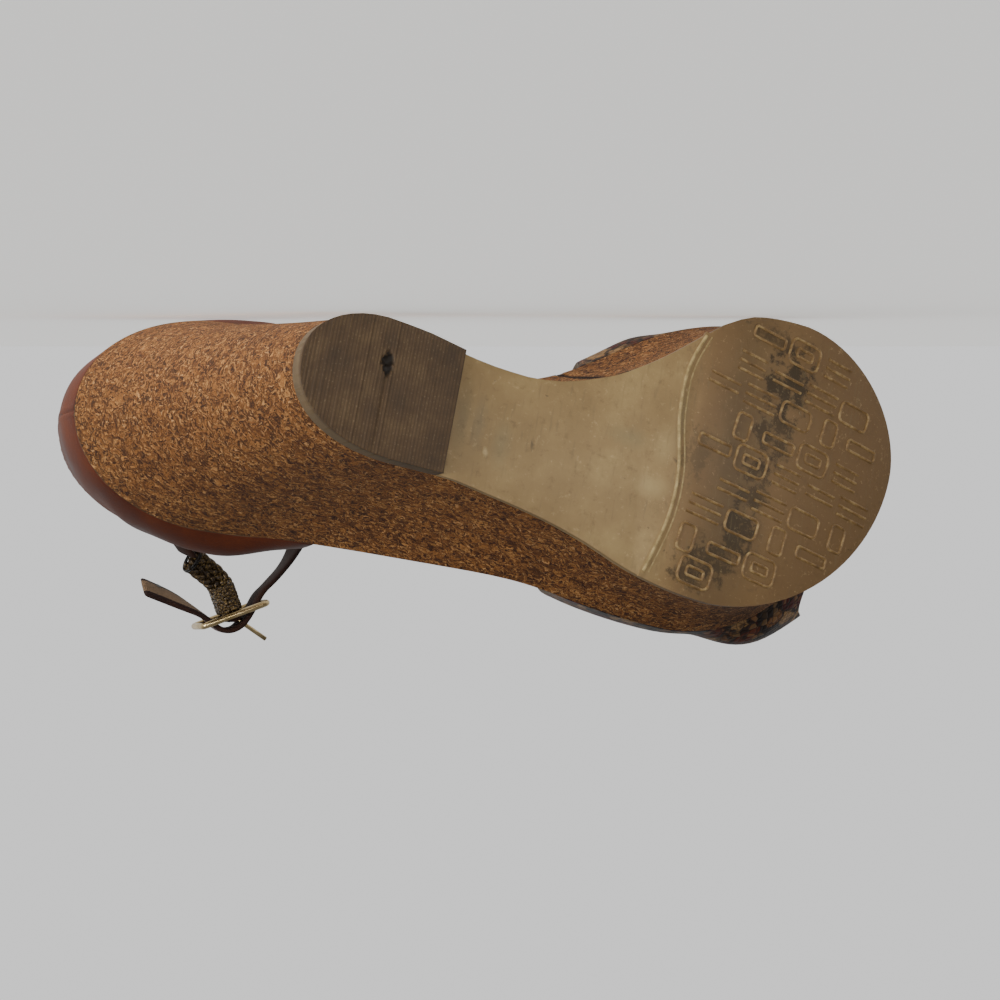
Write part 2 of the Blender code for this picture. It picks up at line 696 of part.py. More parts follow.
def buckle_prong():
    """Prong: an open ring round the bar, then the pin."""
    ring = BUCKLE_BAR_RADIUS * 0.9 + GAP + PRONG_RADIUS
    first = math.pi - PRONG_ANGLE
    path = []
    for i in range(15):
        angle = first + math.radians(300) * (1 - i / 14)
        path.append(in_buckle(ring * math.cos(angle), ring * math.sin(angle), 0))
    tip = prong_pin()[1]
    root = path[-1]
    path += [root + (tip - root) * t for t in (0.25, 0.6, 1.0)]
    return tube_object("buckle_prong", path, PRONG_RADIUS, 10, "champagne_metal")


def buckle_loop():
    """Leather loop round the bar, slotted for the prong and closed towards the braid."""
    hole = BUCKLE_BAR_RADIUS + GAP
    outer = hole + LOOP_WALL
    outline = [(outer * math.cos(a), outer * math.sin(a)) for a in
               (math.radians(-20 + 220 * i / 14) for i in range(15))]
    outline += [(-outer * 0.8, -LOOP_REACH * 0.6), (-outer * 0.7, -LOOP_REACH)]
    outline += [(outer * 0.7, -LOOP_REACH), (outer * 0.8, -LOOP_REACH * 0.6)]
    rings = [[in_buckle(s, n, w) for s, n in outline] for w in (-LOOP_WIDTH / 2, LOOP_WIDTH / 2)]
    loop = as_object("buckle_loop", loft(rings), "strap_leather")
    bore_path = [in_buckle(0, 0, -LOOP_WIDTH), in_buckle(0, 0, LOOP_WIDTH)]
    bore = as_object("loop_bore", loft(tube_rings(bore_path, hole, 16, [BUCKLE_OUT] * 2)), "strap_leather")
    ring = BUCKLE_BAR_RADIUS * 0.9 + GAP + 2 * PRONG_RADIUS + GAP
    half = PRONG_RADIUS + GAP
    slot_rings = []
    for w in (-half, half):
        slot_rings.append([in_buckle(s, n, w) for s, n in ((-6, -ring), (6, -ring), (6, 6), (-6, 6))])
    slot = as_object("loop_slot", loft(slot_rings), "strap_leather")
    for cutter in (bore, slot):
        cutter.hide_render = True
        cutter.display_type = "WIRE"
        cut = loop.modifiers.new(cutter.name, "BOOLEAN")
        cut.operation = "DIFFERENCE"
        cut.object = cutter
    return loop


def mass_points(pieces):
    """Centre of mass of the pieces and all of their points, in metres."""
    depsgraph = bpy.context.evaluated_depsgraph_get()
    mass, moment, points = 0.0, Vector(), []
    for piece in pieces:
        evaluated = piece.evaluated_get(depsgraph)
        mesh = evaluated.to_mesh()
        mesh.calc_loop_triangles()
        density = FINISHES["density"][FINISHES["name"].index(piece.data.materials[0].name)]
        for triangle in mesh.loop_triangles:
            a, b, c = (mesh.vertices[i].co for i in triangle.vertices)
            weight = density * a.dot(b.cross(c)) / 6
            mass += weight
            moment += (a + b + c) / 4 * weight
        points += [vertex.co.copy() for vertex in mesh.vertices]
        evaluated.to_mesh_clear()
    print(f"mass {mass * 1e6:.1f} g")
    return moment / mass, points


def resting_up(centre, points):
    """Up direction of the shoe when it lies on its medial side: the hull facet under its mass."""
    bm = bmesh.new()
    for point in points:
        bm.verts.new(point)
    bmesh.ops.convex_hull(bm, input=bm.verts)
    bm.normal_update()
    middle = sum(points, Vector()) / len(points)
    for face in bm.faces:
        corners = [vert.co for vert in face.verts]
        normal = (corners[1] - corners[0]).cross(corners[2] - corners[0]).normalized()
        if normal.dot(corners[0] - middle) < 0:
            normal = -normal
        if normal.dot(SUPPORT_SIDE) < 0.6:
            continue
        under = centre + normal * (corners[0] - centre).dot(normal)
        turns = [
            (b - a).cross(under - a).dot(normal)
            for a, b in zip(corners, corners[1:] + corners[:1])
        ]
        if min(turns) >= 0 or max(turns) <= 0:
            for corner in corners:
                print("rests on", [round(v / MM, 1) for v in corner])
            print("up", [round(v, 3) for v in -normal])
            return -normal
    raise ValueError("no facet of the hull carries the shoe on its medial side")


def lay_down(pieces):
    """Parents the pieces to an empty that lays them on the ground, length along X."""
    bpy.context.view_layer.update()
    centre, points = mass_points(pieces)
    up = resting_up(centre, points)
    along = (Vector((1, 0, 0)) - up * up.x).normalized()
    turn = Matrix((along, up.cross(along), up))
    turned = [turn @ point for point in points]
    low = [min(point[i] for point in turned) for i in range(3)]
    high = [max(point[i] for point in turned) for i in range(3)]
    origin = Vector(((low[0] + high[0]) / 2, (low[1] + high[1]) / 2, low[2]))
    rest = bpy.data.objects.new("lying_shoe", None)
    bpy.context.scene.collection.objects.link(rest)
    rest.matrix_world = Matrix.Translation(-origin) @ turn.to_4x4()
    for piece in bpy.data.objects:
        if piece.type == "MESH":
            piece.parent = rest
    print("matrix", [[round(v, 6) for v in row] for row in rest.matrix_world])


def main():
    for old in list(bpy.data.objects):
        bpy.data.objects.remove(old)
    pieces = [
        outsole(), heel_lift(), wedge(), insole(), counter(), vamp(), ankle_strap(), braid_tab(),
        braid_strap(), buckle_loop(), buckle_frame(), buckle_prong(),
    ]
    lay_down(pieces)


main()
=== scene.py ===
import json
import math

import bmesh
import bpy
from mathutils import Matrix, Vector, noise
from mathutils.bvhtree import BVHTree


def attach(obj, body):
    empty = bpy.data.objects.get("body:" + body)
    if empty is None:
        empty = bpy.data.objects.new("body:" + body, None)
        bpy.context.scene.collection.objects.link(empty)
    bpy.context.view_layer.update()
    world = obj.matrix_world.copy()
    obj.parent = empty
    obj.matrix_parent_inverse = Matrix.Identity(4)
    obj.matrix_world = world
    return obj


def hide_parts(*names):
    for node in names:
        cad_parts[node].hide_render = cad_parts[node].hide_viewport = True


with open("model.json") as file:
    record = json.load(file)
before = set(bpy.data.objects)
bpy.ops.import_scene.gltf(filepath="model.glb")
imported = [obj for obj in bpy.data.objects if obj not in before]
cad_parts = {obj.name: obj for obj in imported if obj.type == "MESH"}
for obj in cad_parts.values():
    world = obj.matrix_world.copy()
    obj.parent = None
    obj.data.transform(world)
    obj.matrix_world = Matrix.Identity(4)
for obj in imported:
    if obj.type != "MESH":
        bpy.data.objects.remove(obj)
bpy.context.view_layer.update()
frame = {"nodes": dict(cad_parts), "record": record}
print("frame ready")

# The shoe's own frame, in millimetres: X from heel to toe, Y to the lateral side, Z up from the sole.
# Its pose comes from the two flat spots of the sole, which lie at these places in that frame.
flatSpots = {"heel_rest": Vector((70, 0, 0)), "ball_rest": Vector((172, -10, 0))}


def findPose():
    rests = {m["name"]: m for m in frame["record"]["mounts"]}
    heel, ball = (Vector(rests[name]["pos_m"]) for name in flatSpots)
    up = -Vector(rests["heel_rest"]["axis"]).normalized()
    run = (ball - heel).normalized()
    plan = flatSpots["ball_rest"] - flatSpots["heel_rest"]
    turn = math.atan2(plan.y, plan.x)
    along = run * math.cos(turn) - up.cross(run) * math.sin(turn)
    turned = Matrix((along, up.cross(along), up)).transposed()
    moved = heel - turned @ (flatSpots["heel_rest"] * 0.001)
    return Matrix.Translation(moved) @ (turned * 0.001).to_4x4()


shoePose = findPose()


def linear(hexColour):  # sRGB hex to the linear values that Blender takes
    found = []
    for i in (0, 2, 4):
        value = int(hexColour[i:i + 2], 16) / 255
        found.append(value / 12.92 if value <= 0.04045 else ((value + 0.055) / 1.055) ** 2.4)
    return (*found, 1.0)


def plug(socket, value):  # a node, a socket, a hex colour or a number goes into a socket
    if isinstance(value, bpy.types.Node):
        value = next(output for output in value.outputs if output.enabled)
    if isinstance(value, bpy.types.NodeSocket):
        socket.id_data.links.new(value, socket)
    else:
        socket.default_value = linear(value) if isinstance(value, str) else value


# Parts fill the node's live sockets in order. A setting with a capital is a socket named so.
def addNode(tree, kind, *parts, stops=(), **settings):
    node = tree.nodes.new("ShaderNode" + kind)
    for name, value in settings.items():
        if name[0].islower():
            setattr(node, name, value)
    for socket, part in zip([socket for socket in node.inputs if socket.enabled], parts):
        plug(socket, part)
    for name, value in settings.items():
        if name[0].isupper():
            plug(node.inputs[name.replace("_", " ")], value)
    for i, (spot, colour) in enumerate(stops):
        element = node.color_ramp.elements[i] if i < 2 else node.color_ramp.elements.new(spot)
        element.position = spot
        element.color = linear(colour)
    return node


def newFinish(name, **values):  # a material with coordinates in the shoe's own millimetres
    material = bpy.data.materials.new(name)
    material.use_nodes = True
    tree = material.node_tree
    shader = tree.nodes["Principled BSDF"]
    for key, value in values.items():
        plug(shader.inputs[key.replace("_", " ")], value)
    back = shoePose.inverted()
    place = addNode(
        tree, "Mapping", addNode(tree, "TexCoord").outputs["Object"],
        back.translation, back.to_euler(), back.to_scale(),
    )
    return material, tree, shader, place


def spotMask(tree, place, centre, size, soft=0.3, ragged=0.0, scale=0.3):  # 1 inside a blot, 0 outside
    if ragged:
        drift = addNode(tree, "TexNoise", place, scale, 4.0).outputs["Color"]
        place = addNode(tree, "VectorMath", drift, (ragged,) * 3, place, operation="MULTIPLY_ADD")
        centre = [c + ragged / 2 for c in centre]
    moved = addNode(
        tree, "Mapping", place, Location=[-c / s for c, s in zip(centre, size)],
        Scale=[1 / s for s in size],
    )
    far = addNode(tree, "VectorMath", moved, operation="LENGTH")
    return addNode(tree, "MapRange", far, 1 + soft, 1 - soft)


cork = {  # sizes in millimetres
    "flakeLength": 1.9, "flakeWidth": 0.7, "speckSize": 0.5, "clusterSize": 9.0, "fibreSize": 0.7,
    "wander": 7.0, "relief": 0.4, "gap": "38200e", "speck": "241106", "fleck": "ac8254", "bark": "2a1407",
    "tones": (
        (0.18, "2b1506"), (0.32, "4f2f12"), (0.46, "6a411b"), (0.62, "815428"), (0.78, "9a6d3d"),
        (0.94, "c69b68"),
    ),
}


# The cork sheet's ends meet on the medial side, in a joint that leans back and gapes a little; the gap is
# coloured near-black, painted shade standing in for the shadow inside it.
wrapJoint = {"fromHeel": 140.3, "lean": 0.25, "halfWidth": 0.9, "depth": 0.8, "tone": "140903"}


# Pressed cork sheet, shaved smooth: matt tan flakes lying one way, with dark bark specks between.
def makeCork():
    material, tree, shader, place = newFinish("cork sheet", Roughness=0.8, Specular_IOR_Level=0.25)
    drift = addNode(tree, "TexNoise", place, 0.3, 4.0).outputs["Color"]
    bent = addNode(tree, "VectorMath", drift, (cork["wander"],) * 3, place, operation="MULTIPLY_ADD")
    long, wide, fine = 1 / cork["flakeLength"], 1 / cork["flakeWidth"], 1 / cork["speckSize"]
    lying = addNode(tree, "Mapping", bent, Rotation=(0.0, 0.2, 0.1), Scale=(long, wide, wide))
    flakes = addNode(tree, "TexVoronoi", lying, 1.0)
    edges = addNode(tree, "TexVoronoi", lying, 1.0, feature="DISTANCE_TO_EDGE")
    tone = addNode(tree, "SeparateColor", flakes.outputs["Color"])
    clusters = addNode(tree, "TexNoise", place, 1 / cork["clusterSize"], 3.0, 0.5)
    fibre = addNode(tree, "TexNoise", bent, 1 / cork["fibreSize"], 5.0, 0.65)
    half = addNode(tree, "Math", fibre, 0.55, operation="MULTIPLY")
    pick = addNode(tree, "Math", tone.outputs[0], 0.52, half, operation="MULTIPLY_ADD")
    pick = addNode(tree, "Math", clusters, 0.3, pick, operation="MULTIPLY_ADD")
    pick = addNode(tree, "Math", pick, 0.17, operation="SUBTRACT")
    colour = addNode(tree, "ValToRGB", pick, stops=cork["tones"])
    gap = addNode(tree, "MapRange", edges, 0.085, 0.0, 0.0, 0.85)
    colour = addNode(tree, "Mix", gap, colour, cork["gap"], data_type="RGBA")
    across = addNode(tree, "Mapping", bent, Rotation=(0.9, 0.2, 0.7), Scale=(fine * 0.5, fine, fine))
    chance = addNode(tree, "SeparateColor", addNode(tree, "TexVoronoi", across, 1.0).outputs["Color"])
    speck = addNode(tree, "MapRange", chance.outputs[1], 0.74, 0.88, 0.0, 0.9)
    colour = addNode(tree, "Mix", speck, colour, cork["speck"], data_type="RGBA")
    fleck = addNode(tree, "MapRange", chance.outputs[2], 0.94, 0.99, 0.0, 0.7)
    colour = addNode(tree, "Mix", fleck, colour, cork["fleck"], data_type="RGBA")
    bark = addNode(tree, "MapRange", tone.outputs[2], 0.93, 0.96, 0.0, 0.85)
    colour = addNode(tree, "Mix", bark, colour, cork["bark"], data_type="RGBA")
    sides = addNode(tree, "SeparateXYZ", place)
    far = addNode(
        tree, "Math", sides.outputs[2], wrapJoint["lean"], sides.outputs[0], operation="MULTIPLY_ADD"
    )
    far = addNode(tree, "Math", far, wrapJoint["fromHeel"], operation="SUBTRACT")
    far = addNode(tree, "Math", far, operation="ABSOLUTE")
    # painted shade: a near-black line along the joint, where the shadow in the gap falls
    joint = addNode(tree, "MapRange", far, wrapJoint["halfWidth"] * 1.2, wrapJoint["halfWidth"] * 0.6)
    medial = addNode(tree, "MapRange", sides.outputs[1], -8.0, -12.0)
    joint = addNode(tree, "Math", joint, medial, operation="MULTIPLY")
    colour = addNode(tree, "Mix", joint, colour, wrapJoint["tone"], data_type="RGBA")
    plug(shader.inputs["Base Color"], colour)
    height = addNode(tree, "Math", tone.outputs[1], 0.5, edges, operation="MULTIPLY_ADD")
    height = addNode(tree, "Math", fibre, 0.5, height, operation="MULTIPLY_ADD")
    relief = addNode(tree, "Bump", Strength=1.0, Distance=cork["relief"] * 0.001, Height=height)
    plug(shader.inputs["Normal"], relief)
    return material


sole = {  # places and sizes in millimetres
    "tones": ((0.3, "685433"), (0.52, "725d3a"), (0.75, "806c45")), "tread": "5f4627", "toe": "533d21",
    "band": "3f2f17", "dirt": "2c1f06", "scratch": "5a4b31", "worn": "a48c64", "relief": 0.22,
    "treadFrom": (153, 163), "toeFrom": (178, 200), "bandCentre": (175, -6, 0), "bandSize": (9, 48, 12),
}
grimePatches = (  # centre, half size, strength, in millimetres on the tread
    ((190, -34, 0), (9, 12, 9), 1.0), ((188, -17, 0), (7, 11, 9), 0.85), ((183, -2, 0), (6, 10, 9), 0.8),
    ((181, 12, 0), (7, 8, 9), 0.95), ((173, 22, 0), (10, 7, 9), 0.85), ((165, 28, 0), (7, 5, 9), 0.75),
    ((163, -7, 0), (5, 10, 9), 0.45), ((185, -46, 0), (11, 4, 9), 0.7),
)
scuffMarks = (  # centre, half size, tone
    ((91.5, 0, 3), (2.0, 7.5, 6), "574a30"), ((96.5, 1, 3), (1.6, 6.0, 6), "62543a"),
    ((104, 5, 3), (2.2, 5.0, 6), "675a3d"), ((113.1, 3, 3), (0.5, 1.3, 6), "1e1810"),
    ((99.8, 8.3, 3), (0.7, 1.1, 6), "9a8760"), ((150, 6, 3), (4.5, 3.0, 6), "8a7750"),
    ((152, -6, 3), (3.0, 4.5, 6), "85724c"), ((141, -6, 3), (5.0, 2.4, 6), "675a3c"),
    ((156, -15, 3), (1.5, 7.0, 6), "5f5238"),
)


# Moulded rubber: matt khaki in the arch, browned, rubbed and grimy where it treads, with a broad stripe
# of painted shade across the ball.
def makeSoleRubber():
    material, tree, shader, place = newFinish("moulded rubber", Roughness=0.6, Specular_IOR_Level=0.35)
    cloud = addNode(tree, "TexNoise", place, 1 / 16, 5.0, 0.6)
    colour = addNode(tree, "ValToRGB", cloud, stops=sole["tones"])
    ahead = addNode(tree, "SeparateXYZ", place)
    tread = addNode(tree, "MapRange", ahead, *sole["treadFrom"], 0.0, 0.75)
    colour = addNode(tree, "Mix", tread, colour, sole["tread"], data_type="RGBA")
    toe = addNode(tree, "MapRange", ahead, *sole["toeFrom"], 0.0, 0.7)
    colour = addNode(tree, "Mix", toe, colour, sole["toe"], data_type="RGBA")
    # painted shade: a broad darker stripe across the ball of the foot
    shadeBand = spotMask(tree, place, sole["bandCentre"], sole["bandSize"], 0.8, 12.0, 0.06)
    shadeBand = addNode(tree, "Math", shadeBand, 0.8, operation="MULTIPLY")
    colour = addNode(tree, "Mix", shadeBand, colour, sole["band"], data_type="RGBA")
    crumbs = addNode(tree, "TexNoise", place, 1 / 1.6, 8.0, 0.72)
    lumps = addNode(tree, "TexNoise", place, 1 / 5, 3.0, 0.5)
    lumps = addNode(tree, "Math", lumps, 0.9, operation="MULTIPLY")
    broken = addNode(tree, "Math", crumbs, 0.9, lumps, operation="MULTIPLY_ADD")
    for centre, size, strength in grimePatches:
        blot = spotMask(tree, place, centre, size, 0.7, 5.0, 0.2)
        grime = addNode(tree, "Math", blot, 0.46, broken, operation="MULTIPLY_ADD")
        grime = addNode(tree, "MapRange", grime, 1.16, 1.3, 0.0, strength)
        colour = addNode(tree, "Mix", grime, colour, sole["dirt"], data_type="RGBA")
    for centre, size, tone in scuffMarks:
        mark = spotMask(tree, place, centre, size, 0.6, 2.4, 0.5)
        mark = addNode(tree, "Math", mark, 0.6, operation="MULTIPLY")
        colour = addNode(tree, "Mix", mark, colour, tone, data_type="RGBA")
    drawn = addNode(tree, "Mapping", place, Scale=(0.9, 0.12, 0.3))
    scratches = addNode(tree, "TexNoise", drawn, 1.0, 4.0)
    scratches = addNode(tree, "MapRange", scratches, 0.58, 0.72, 0.0, 0.4)
    colour = addNode(tree, "Mix", scratches, colour, sole["scratch"], data_type="RGBA")
    worn = addNode(tree, "MapRange", crumbs, 0.58, 0.72, 0.0, 0.45)
    colour = addNode(tree, "Mix", worn, colour, sole["worn"], data_type="RGBA")
    # dark smears of dirt, in the same tone as the painted shade stripe
    smear = addNode(tree, "TexNoise", place, 1 / 3.2, 6.0, 0.7)
    smear = addNode(tree, "MapRange", smear, 0.44, 0.3, 0.0, 0.35)
    colour = addNode(tree, "Mix", smear, colour, sole["band"], data_type="RGBA")
    plug(shader.inputs["Base Color"], colour)
    relief = addNode(tree, "Bump", Strength=0.7, Distance=sole["relief"] * 0.001, Height=crumbs)
    plug(shader.inputs["Normal"], relief)
    return material


rubbed = {"patch": 2.5, "relief": 0.1}  # sizes in millimetres


# The same rubber on raised lines, where walking has rubbed it paler than the ground around it, and
# painted paler still as a highlight on the raised lines.
def makeRubbedAndHighlitRubber(name, tones):
    material, tree, shader, place = newFinish(name, Roughness=0.55, Specular_IOR_Level=0.35)
    rub = addNode(tree, "TexNoise", place, 1 / rubbed["patch"], 6.0, 0.7)
    colour = addNode(tree, "ValToRGB", rub, stops=zip((0.32, 0.5, 0.68), tones))
    plug(shader.inputs["Base Color"], colour)
    relief = addNode(tree, "Bump", Strength=0.6, Distance=rubbed["relief"] * 0.001, Height=rub)
    plug(shader.inputs["Normal"], relief)
    return material


lift = {  # sizes in millimetres
    "ribPitch": 0.95, "ribDepth": 0.22, "firstRib": 44.5, "front": 86.5, "grit": 0.8, "relief": 0.12,
    "hole": (66.4, -7.4), "holeSize": (1.5, 3.2), "holeDepth": 2.4, "holeRagged": 0.8,
    "tones": ((0.3, "2f2110"), (0.5, "3d2c17"), (0.72, "4d3b22")), "groove": "1a120a", "dust": "8a7858",
    "rim": "64553a", "holeShade": "0c0805",
}


# Hard brown rubber top piece: matt, with fine ribs across it, dust on the ribs and a paler side; the
# grooves between the ribs and the nail hole are painted shade.
def makeLiftRubber():
    material, tree, shader, place = newFinish(
        "hard rubber top piece", Roughness=0.68, Specular_IOR_Level=0.3
    )
    cloud = addNode(tree, "TexNoise", place, 1 / 11, 6.0, 0.65)
    colour = addNode(tree, "ValToRGB", cloud, stops=lift["tones"])
    parts = addNode(tree, "SeparateXYZ", place)
    turn = addNode(tree, "Math", parts, lift["firstRib"], operation="SUBTRACT")
    turn = addNode(tree, "Math", turn, 2 * math.pi / lift["ribPitch"], operation="MULTIPLY")
    rib = addNode(tree, "Math", turn, operation="COSINE")
    below = addNode(tree, "MapRange", parts.outputs[2], 0.8, 0.2)
    # painted shade: the grooves cut between the ribs are coloured darker
    groove = addNode(tree, "MapRange", rib, 0.0, 1.0, 0.0, 0.4)
    groove = addNode(tree, "Math", groove, below, operation="MULTIPLY")
    colour = addNode(tree, "Mix", groove, colour, lift["groove"], data_type="RGBA")
    grit = addNode(tree, "TexNoise", place, 1 / lift["grit"], 4.0, 0.6)
    dusty = addNode(tree, "MapRange", grit, 0.56, 0.74, 0.0, 0.22)
    dusty = addNode(tree, "Math", dusty, addNode(tree, "MapRange", rib, 0.4, -0.6), operation="MULTIPLY")
    colour = addNode(tree, "Mix", dusty, colour, lift["dust"], data_type="RGBA")
    rim = addNode(tree, "MapRange", parts.outputs[2], 0.5, 2.0)
    rim = addNode(tree, "Math", rim, 0.35, operation="MULTIPLY")
    colour = addNode(tree, "Mix", rim, colour, lift["rim"], data_type="RGBA")
    # painted shade: the sunken nail hole is coloured near-black
    holeShade = spotMask(tree, place, (*lift["hole"], 1.5), (2.0, 3.8, 1.6), 0.25)
    holeShade = addNode(tree, "Math", holeShade, 0.9, operation="MULTIPLY")
    colour = addNode(tree, "Mix", holeShade, colour, lift["holeShade"], data_type="RGBA")
    plug(shader.inputs["Base Color"], colour)
    relief = addNode(tree, "Bump", Strength=0.5, Distance=lift["relief"] * 0.001, Height=grit)
    plug(shader.inputs["Normal"], relief)
    return material


# Three tones, grain in millimetres (real grain is about 0.5: drawn coarser to show) and roughness.
leathers = {
    "cognac": {"tones": ("331307", "461d09", "592a10"), "grain": 0.9, "rough": 0.54},
    "strap": {"tones": ("300c07", "3f1009", "52190e"), "grain": 0.8, "rough": 0.42},
    "lining": {"tones": ("5c4834", "6f5943", "7f6850"), "grain": 1.2, "rough": 0.72},
    # the next leather is the strap leather darkened as painted shade, for the strap's edges and inner
    # side, the braid tab and the keeper
    "shadedStrap": {"tones": ("190b07", "23100a", "301a10"), "grain": 1.1, "rough": 0.75},
    "footbed": {"tones": ("6e5238", "8a6a49", "9d7c58"), "grain": 1.3, "rough": 0.62},
    "edge": {"tones": ("2e2316", "4d3e2a", "6b583f"), "grain": 1.6, "rough": 0.6},
}
hide = {"cloud": 18, "wrinkle": 3, "relief": 0.16, "footprint": "4a3420"}  # sizes in millimetres
footprints = (((40, 0, 95), (26, 20, 30)), ((172, -8, 30), (24, 32, 20)))  # centre and half size


# Corrected-grain cowhide with a thin finish: clouded colour, darker between its pebbles, a soft sheen.
def makeLeather(kind):
    dark, middle, pale = leathers[kind]["tones"]
    grain, rough = leathers[kind]["grain"], leathers[kind]["rough"]
    material, tree, shader, place = newFinish(kind + " leather", Roughness=rough, Specular_IOR_Level=0.2)
    cloud = addNode(tree, "TexNoise", place, 1 / hide["cloud"], 6.0, 0.6)
    colour = addNode(tree, "ValToRGB", cloud, stops=((0.3, dark), (0.5, middle), (0.72, pale)))
    pebbles = addNode(tree, "TexVoronoi", place, 1 / grain, feature="DISTANCE_TO_EDGE")
    crease = addNode(tree, "MapRange", pebbles, 0.12, 0.0, 0.0, 0.45)
    colour = addNode(tree, "Mix", crease, colour, dark, data_type="RGBA")
    if kind == "footbed":  # darkened where the heel and the ball of the foot press
        for centre, size in footprints:
            footprint = spotMask(tree, place, centre, size, 0.7, 10.0, 0.08)
            footprint = addNode(tree, "Math", footprint, 0.5, operation="MULTIPLY")
            colour = addNode(tree, "Mix", footprint, colour, hide["footprint"], data_type="RGBA")
    plug(shader.inputs["Base Color"], colour)
    haze = addNode(tree, "MapRange", cloud, 0.3, 0.7, rough - 0.06, rough + 0.12)
    plug(shader.inputs["Roughness"], haze)
    wrinkle = addNode(tree, "TexNoise", place, 1 / hide["wrinkle"], 4.0, 0.5)
    wrinkle = addNode(tree, "Math", wrinkle, 0.6, pebbles, operation="MULTIPLY_ADD")
    relief = addNode(tree, "Bump", Strength=0.5, Distance=hide["relief"] * 0.001, Height=wrinkle)
    plug(shader.inputs["Normal"], relief)
    return material


snake = {  # sizes in millimetres
    "blotch": 6.5, "scaleLong": 2.9, "scaleWide": 1.9, "wander": 6.0, "relief": 0.16,
    "outline": "120905", "middle": "1c0e07", "glint": "8f6f47",
    "tones": ((0.0, "3d0d09"), (0.26, "4a2110"), (0.44, "160b06"), (0.6, "5d3d20"), (0.78, "7a5c38")),
}


# Printed snake-grain leather: wine, brown, black and tan blots, over rows of small raised scales.
def makePatchLeather():
    material, tree, shader, place = newFinish(
        "snake-grain leather", Roughness=0.55, Specular_IOR_Level=0.15
    )
    drift = addNode(tree, "TexNoise", place, 0.18, 3.0).outputs["Color"]
    bent = addNode(tree, "VectorMath", drift, (snake["wander"],) * 3, place, operation="MULTIPLY_ADD")
    blots = addNode(tree, "TexVoronoi", bent, 1 / snake["blotch"])
    pick = addNode(tree, "SeparateColor", blots.outputs["Color"])
    ground = addNode(tree, "ValToRGB", pick, stops=snake["tones"])
    ground.color_ramp.interpolation = "CONSTANT"
    outlines = addNode(tree, "TexVoronoi", bent, 1 / snake["blotch"], feature="DISTANCE_TO_EDGE")
    outlines = addNode(tree, "MapRange", outlines, 0.12, 0.05, 0.0, 0.9)
    colour = addNode(tree, "Mix", outlines, ground, snake["outline"], data_type="RGBA")
    middle = addNode(tree, "MapRange", blots, 0.24, 0.16, 0.0, 0.75)
    colour = addNode(tree, "Mix", middle, colour, snake["middle"], data_type="RGBA")
    long, wide = 1 / snake["scaleLong"], 1 / snake["scaleWide"]
    scaled = addNode(tree, "Mapping", place, Rotation=(0.2, 0.1, 0.6), Scale=(long, wide, wide))
    scales = addNode(tree, "TexVoronoi", scaled, 1.0, Randomness=0.6)
    rims = addNode(tree, "TexVoronoi", scaled, 1.0, Randomness=0.6, feature="DISTANCE_TO_EDGE")
    tone = addNode(tree, "SeparateColor", scales.outputs["Color"])
    glint = addNode(tree, "MapRange", tone.outputs[1], 0.6, 0.9, 0.0, 0.3)
    colour = addNode(tree, "Mix", glint, colour, snake["glint"], data_type="RGBA")
    between = addNode(tree, "MapRange", rims, 0.1, 0.02, 0.0, 0.7)
    colour = addNode(tree, "Mix", between, colour, snake["outline"], data_type="RGBA")
    plug(shader.inputs["Base Color"], colour)
    height = addNode(tree, "MapRange", rims, 0.0, 0.25)
    relief = addNode(tree, "Bump", Strength=0.7, Distance=snake["relief"] * 0.001, Height=height)
    plug(shader.inputs["Normal"], relief)
    return material


twine = {"turn": 0.6, "relief": 0.15}  # sizes in millimetres


# Twisted thread or metallic cord: its turns, drawn coarser than real, are painted light and dark, as
# painted highlight and shade along the twist.
def makeThread(name, tones, sheen):
    material, tree, shader, place = newFinish(name, Roughness=0.5, Metallic=sheen)
    twist = addNode(tree, "TexNoise", place, 1 / twine["turn"], 3.0, 0.5)
    colour = addNode(tree, "ValToRGB", twist, stops=zip((0.32, 0.52, 0.7), tones))
    plug(shader.inputs["Base Color"], colour)
    relief = addNode(tree, "Bump", Strength=0.7, Distance=twine["relief"] * 0.001, Height=twist)
    plug(shader.inputs["Normal"], relief)
    return material


# Cast zinc, plated pale gold and polished: a bright line of light, hazed where it has been rubbed.
def makeChampagneMetal():
    material, tree, shader, place = newFinish("champagne-plated zinc", Metallic=1.0, Roughness=0.24)
    rub = addNode(tree, "TexNoise", place, 0.25, 3.0)
    colour = addNode(tree, "ValToRGB", rub, stops=((0.35, "ab9568"), (0.65, "c6b086")))
    plug(shader.inputs["Base Color"], colour)
    plug(shader.inputs["Roughness"], addNode(tree, "MapRange", rub, To_Min=0.24, To_Max=0.34))
    return material


finishes = {
    "cork": makeCork(), "sole": makeSoleRubber(), "lift": makeLiftRubber(),
    "rib": makeRubbedAndHighlitRubber("rubbed and highlit rubber rib", ("66542f", "806d45", "968459")),
    "ridge": makeRubbedAndHighlitRubber("rubbed and highlit rubber ridges", ("473318", "634b29", "857049")),
    "cognac": makeLeather("cognac"), "strap": makeLeather("strap"), "lining": makeLeather("lining"),
    "shadedStrap": makeLeather("shadedStrap"), "footbed": makeLeather("footbed"), "edge": makeLeather("edge"),
    "snake": makePatchLeather(),
    "metal": makeChampagneMetal(),
    "thread": makeThread("waxed thread", ("3a2012", "6a4326", "8d6238"), 0.0),
    "braid": makeThread("bronze braid cord", ("140c05", "463418", "8f7746"), 0.35),
    "darkBraid": makeThread("dark bronze braid cord", ("0f0804", "32230f", "76603a"), 0.35),
    "blackThreadAndHoleShade": makeThread("black whipping thread and hole shade", ("080606", "130e0c", "241c18"), 0.0),
}
print("finishes ready")


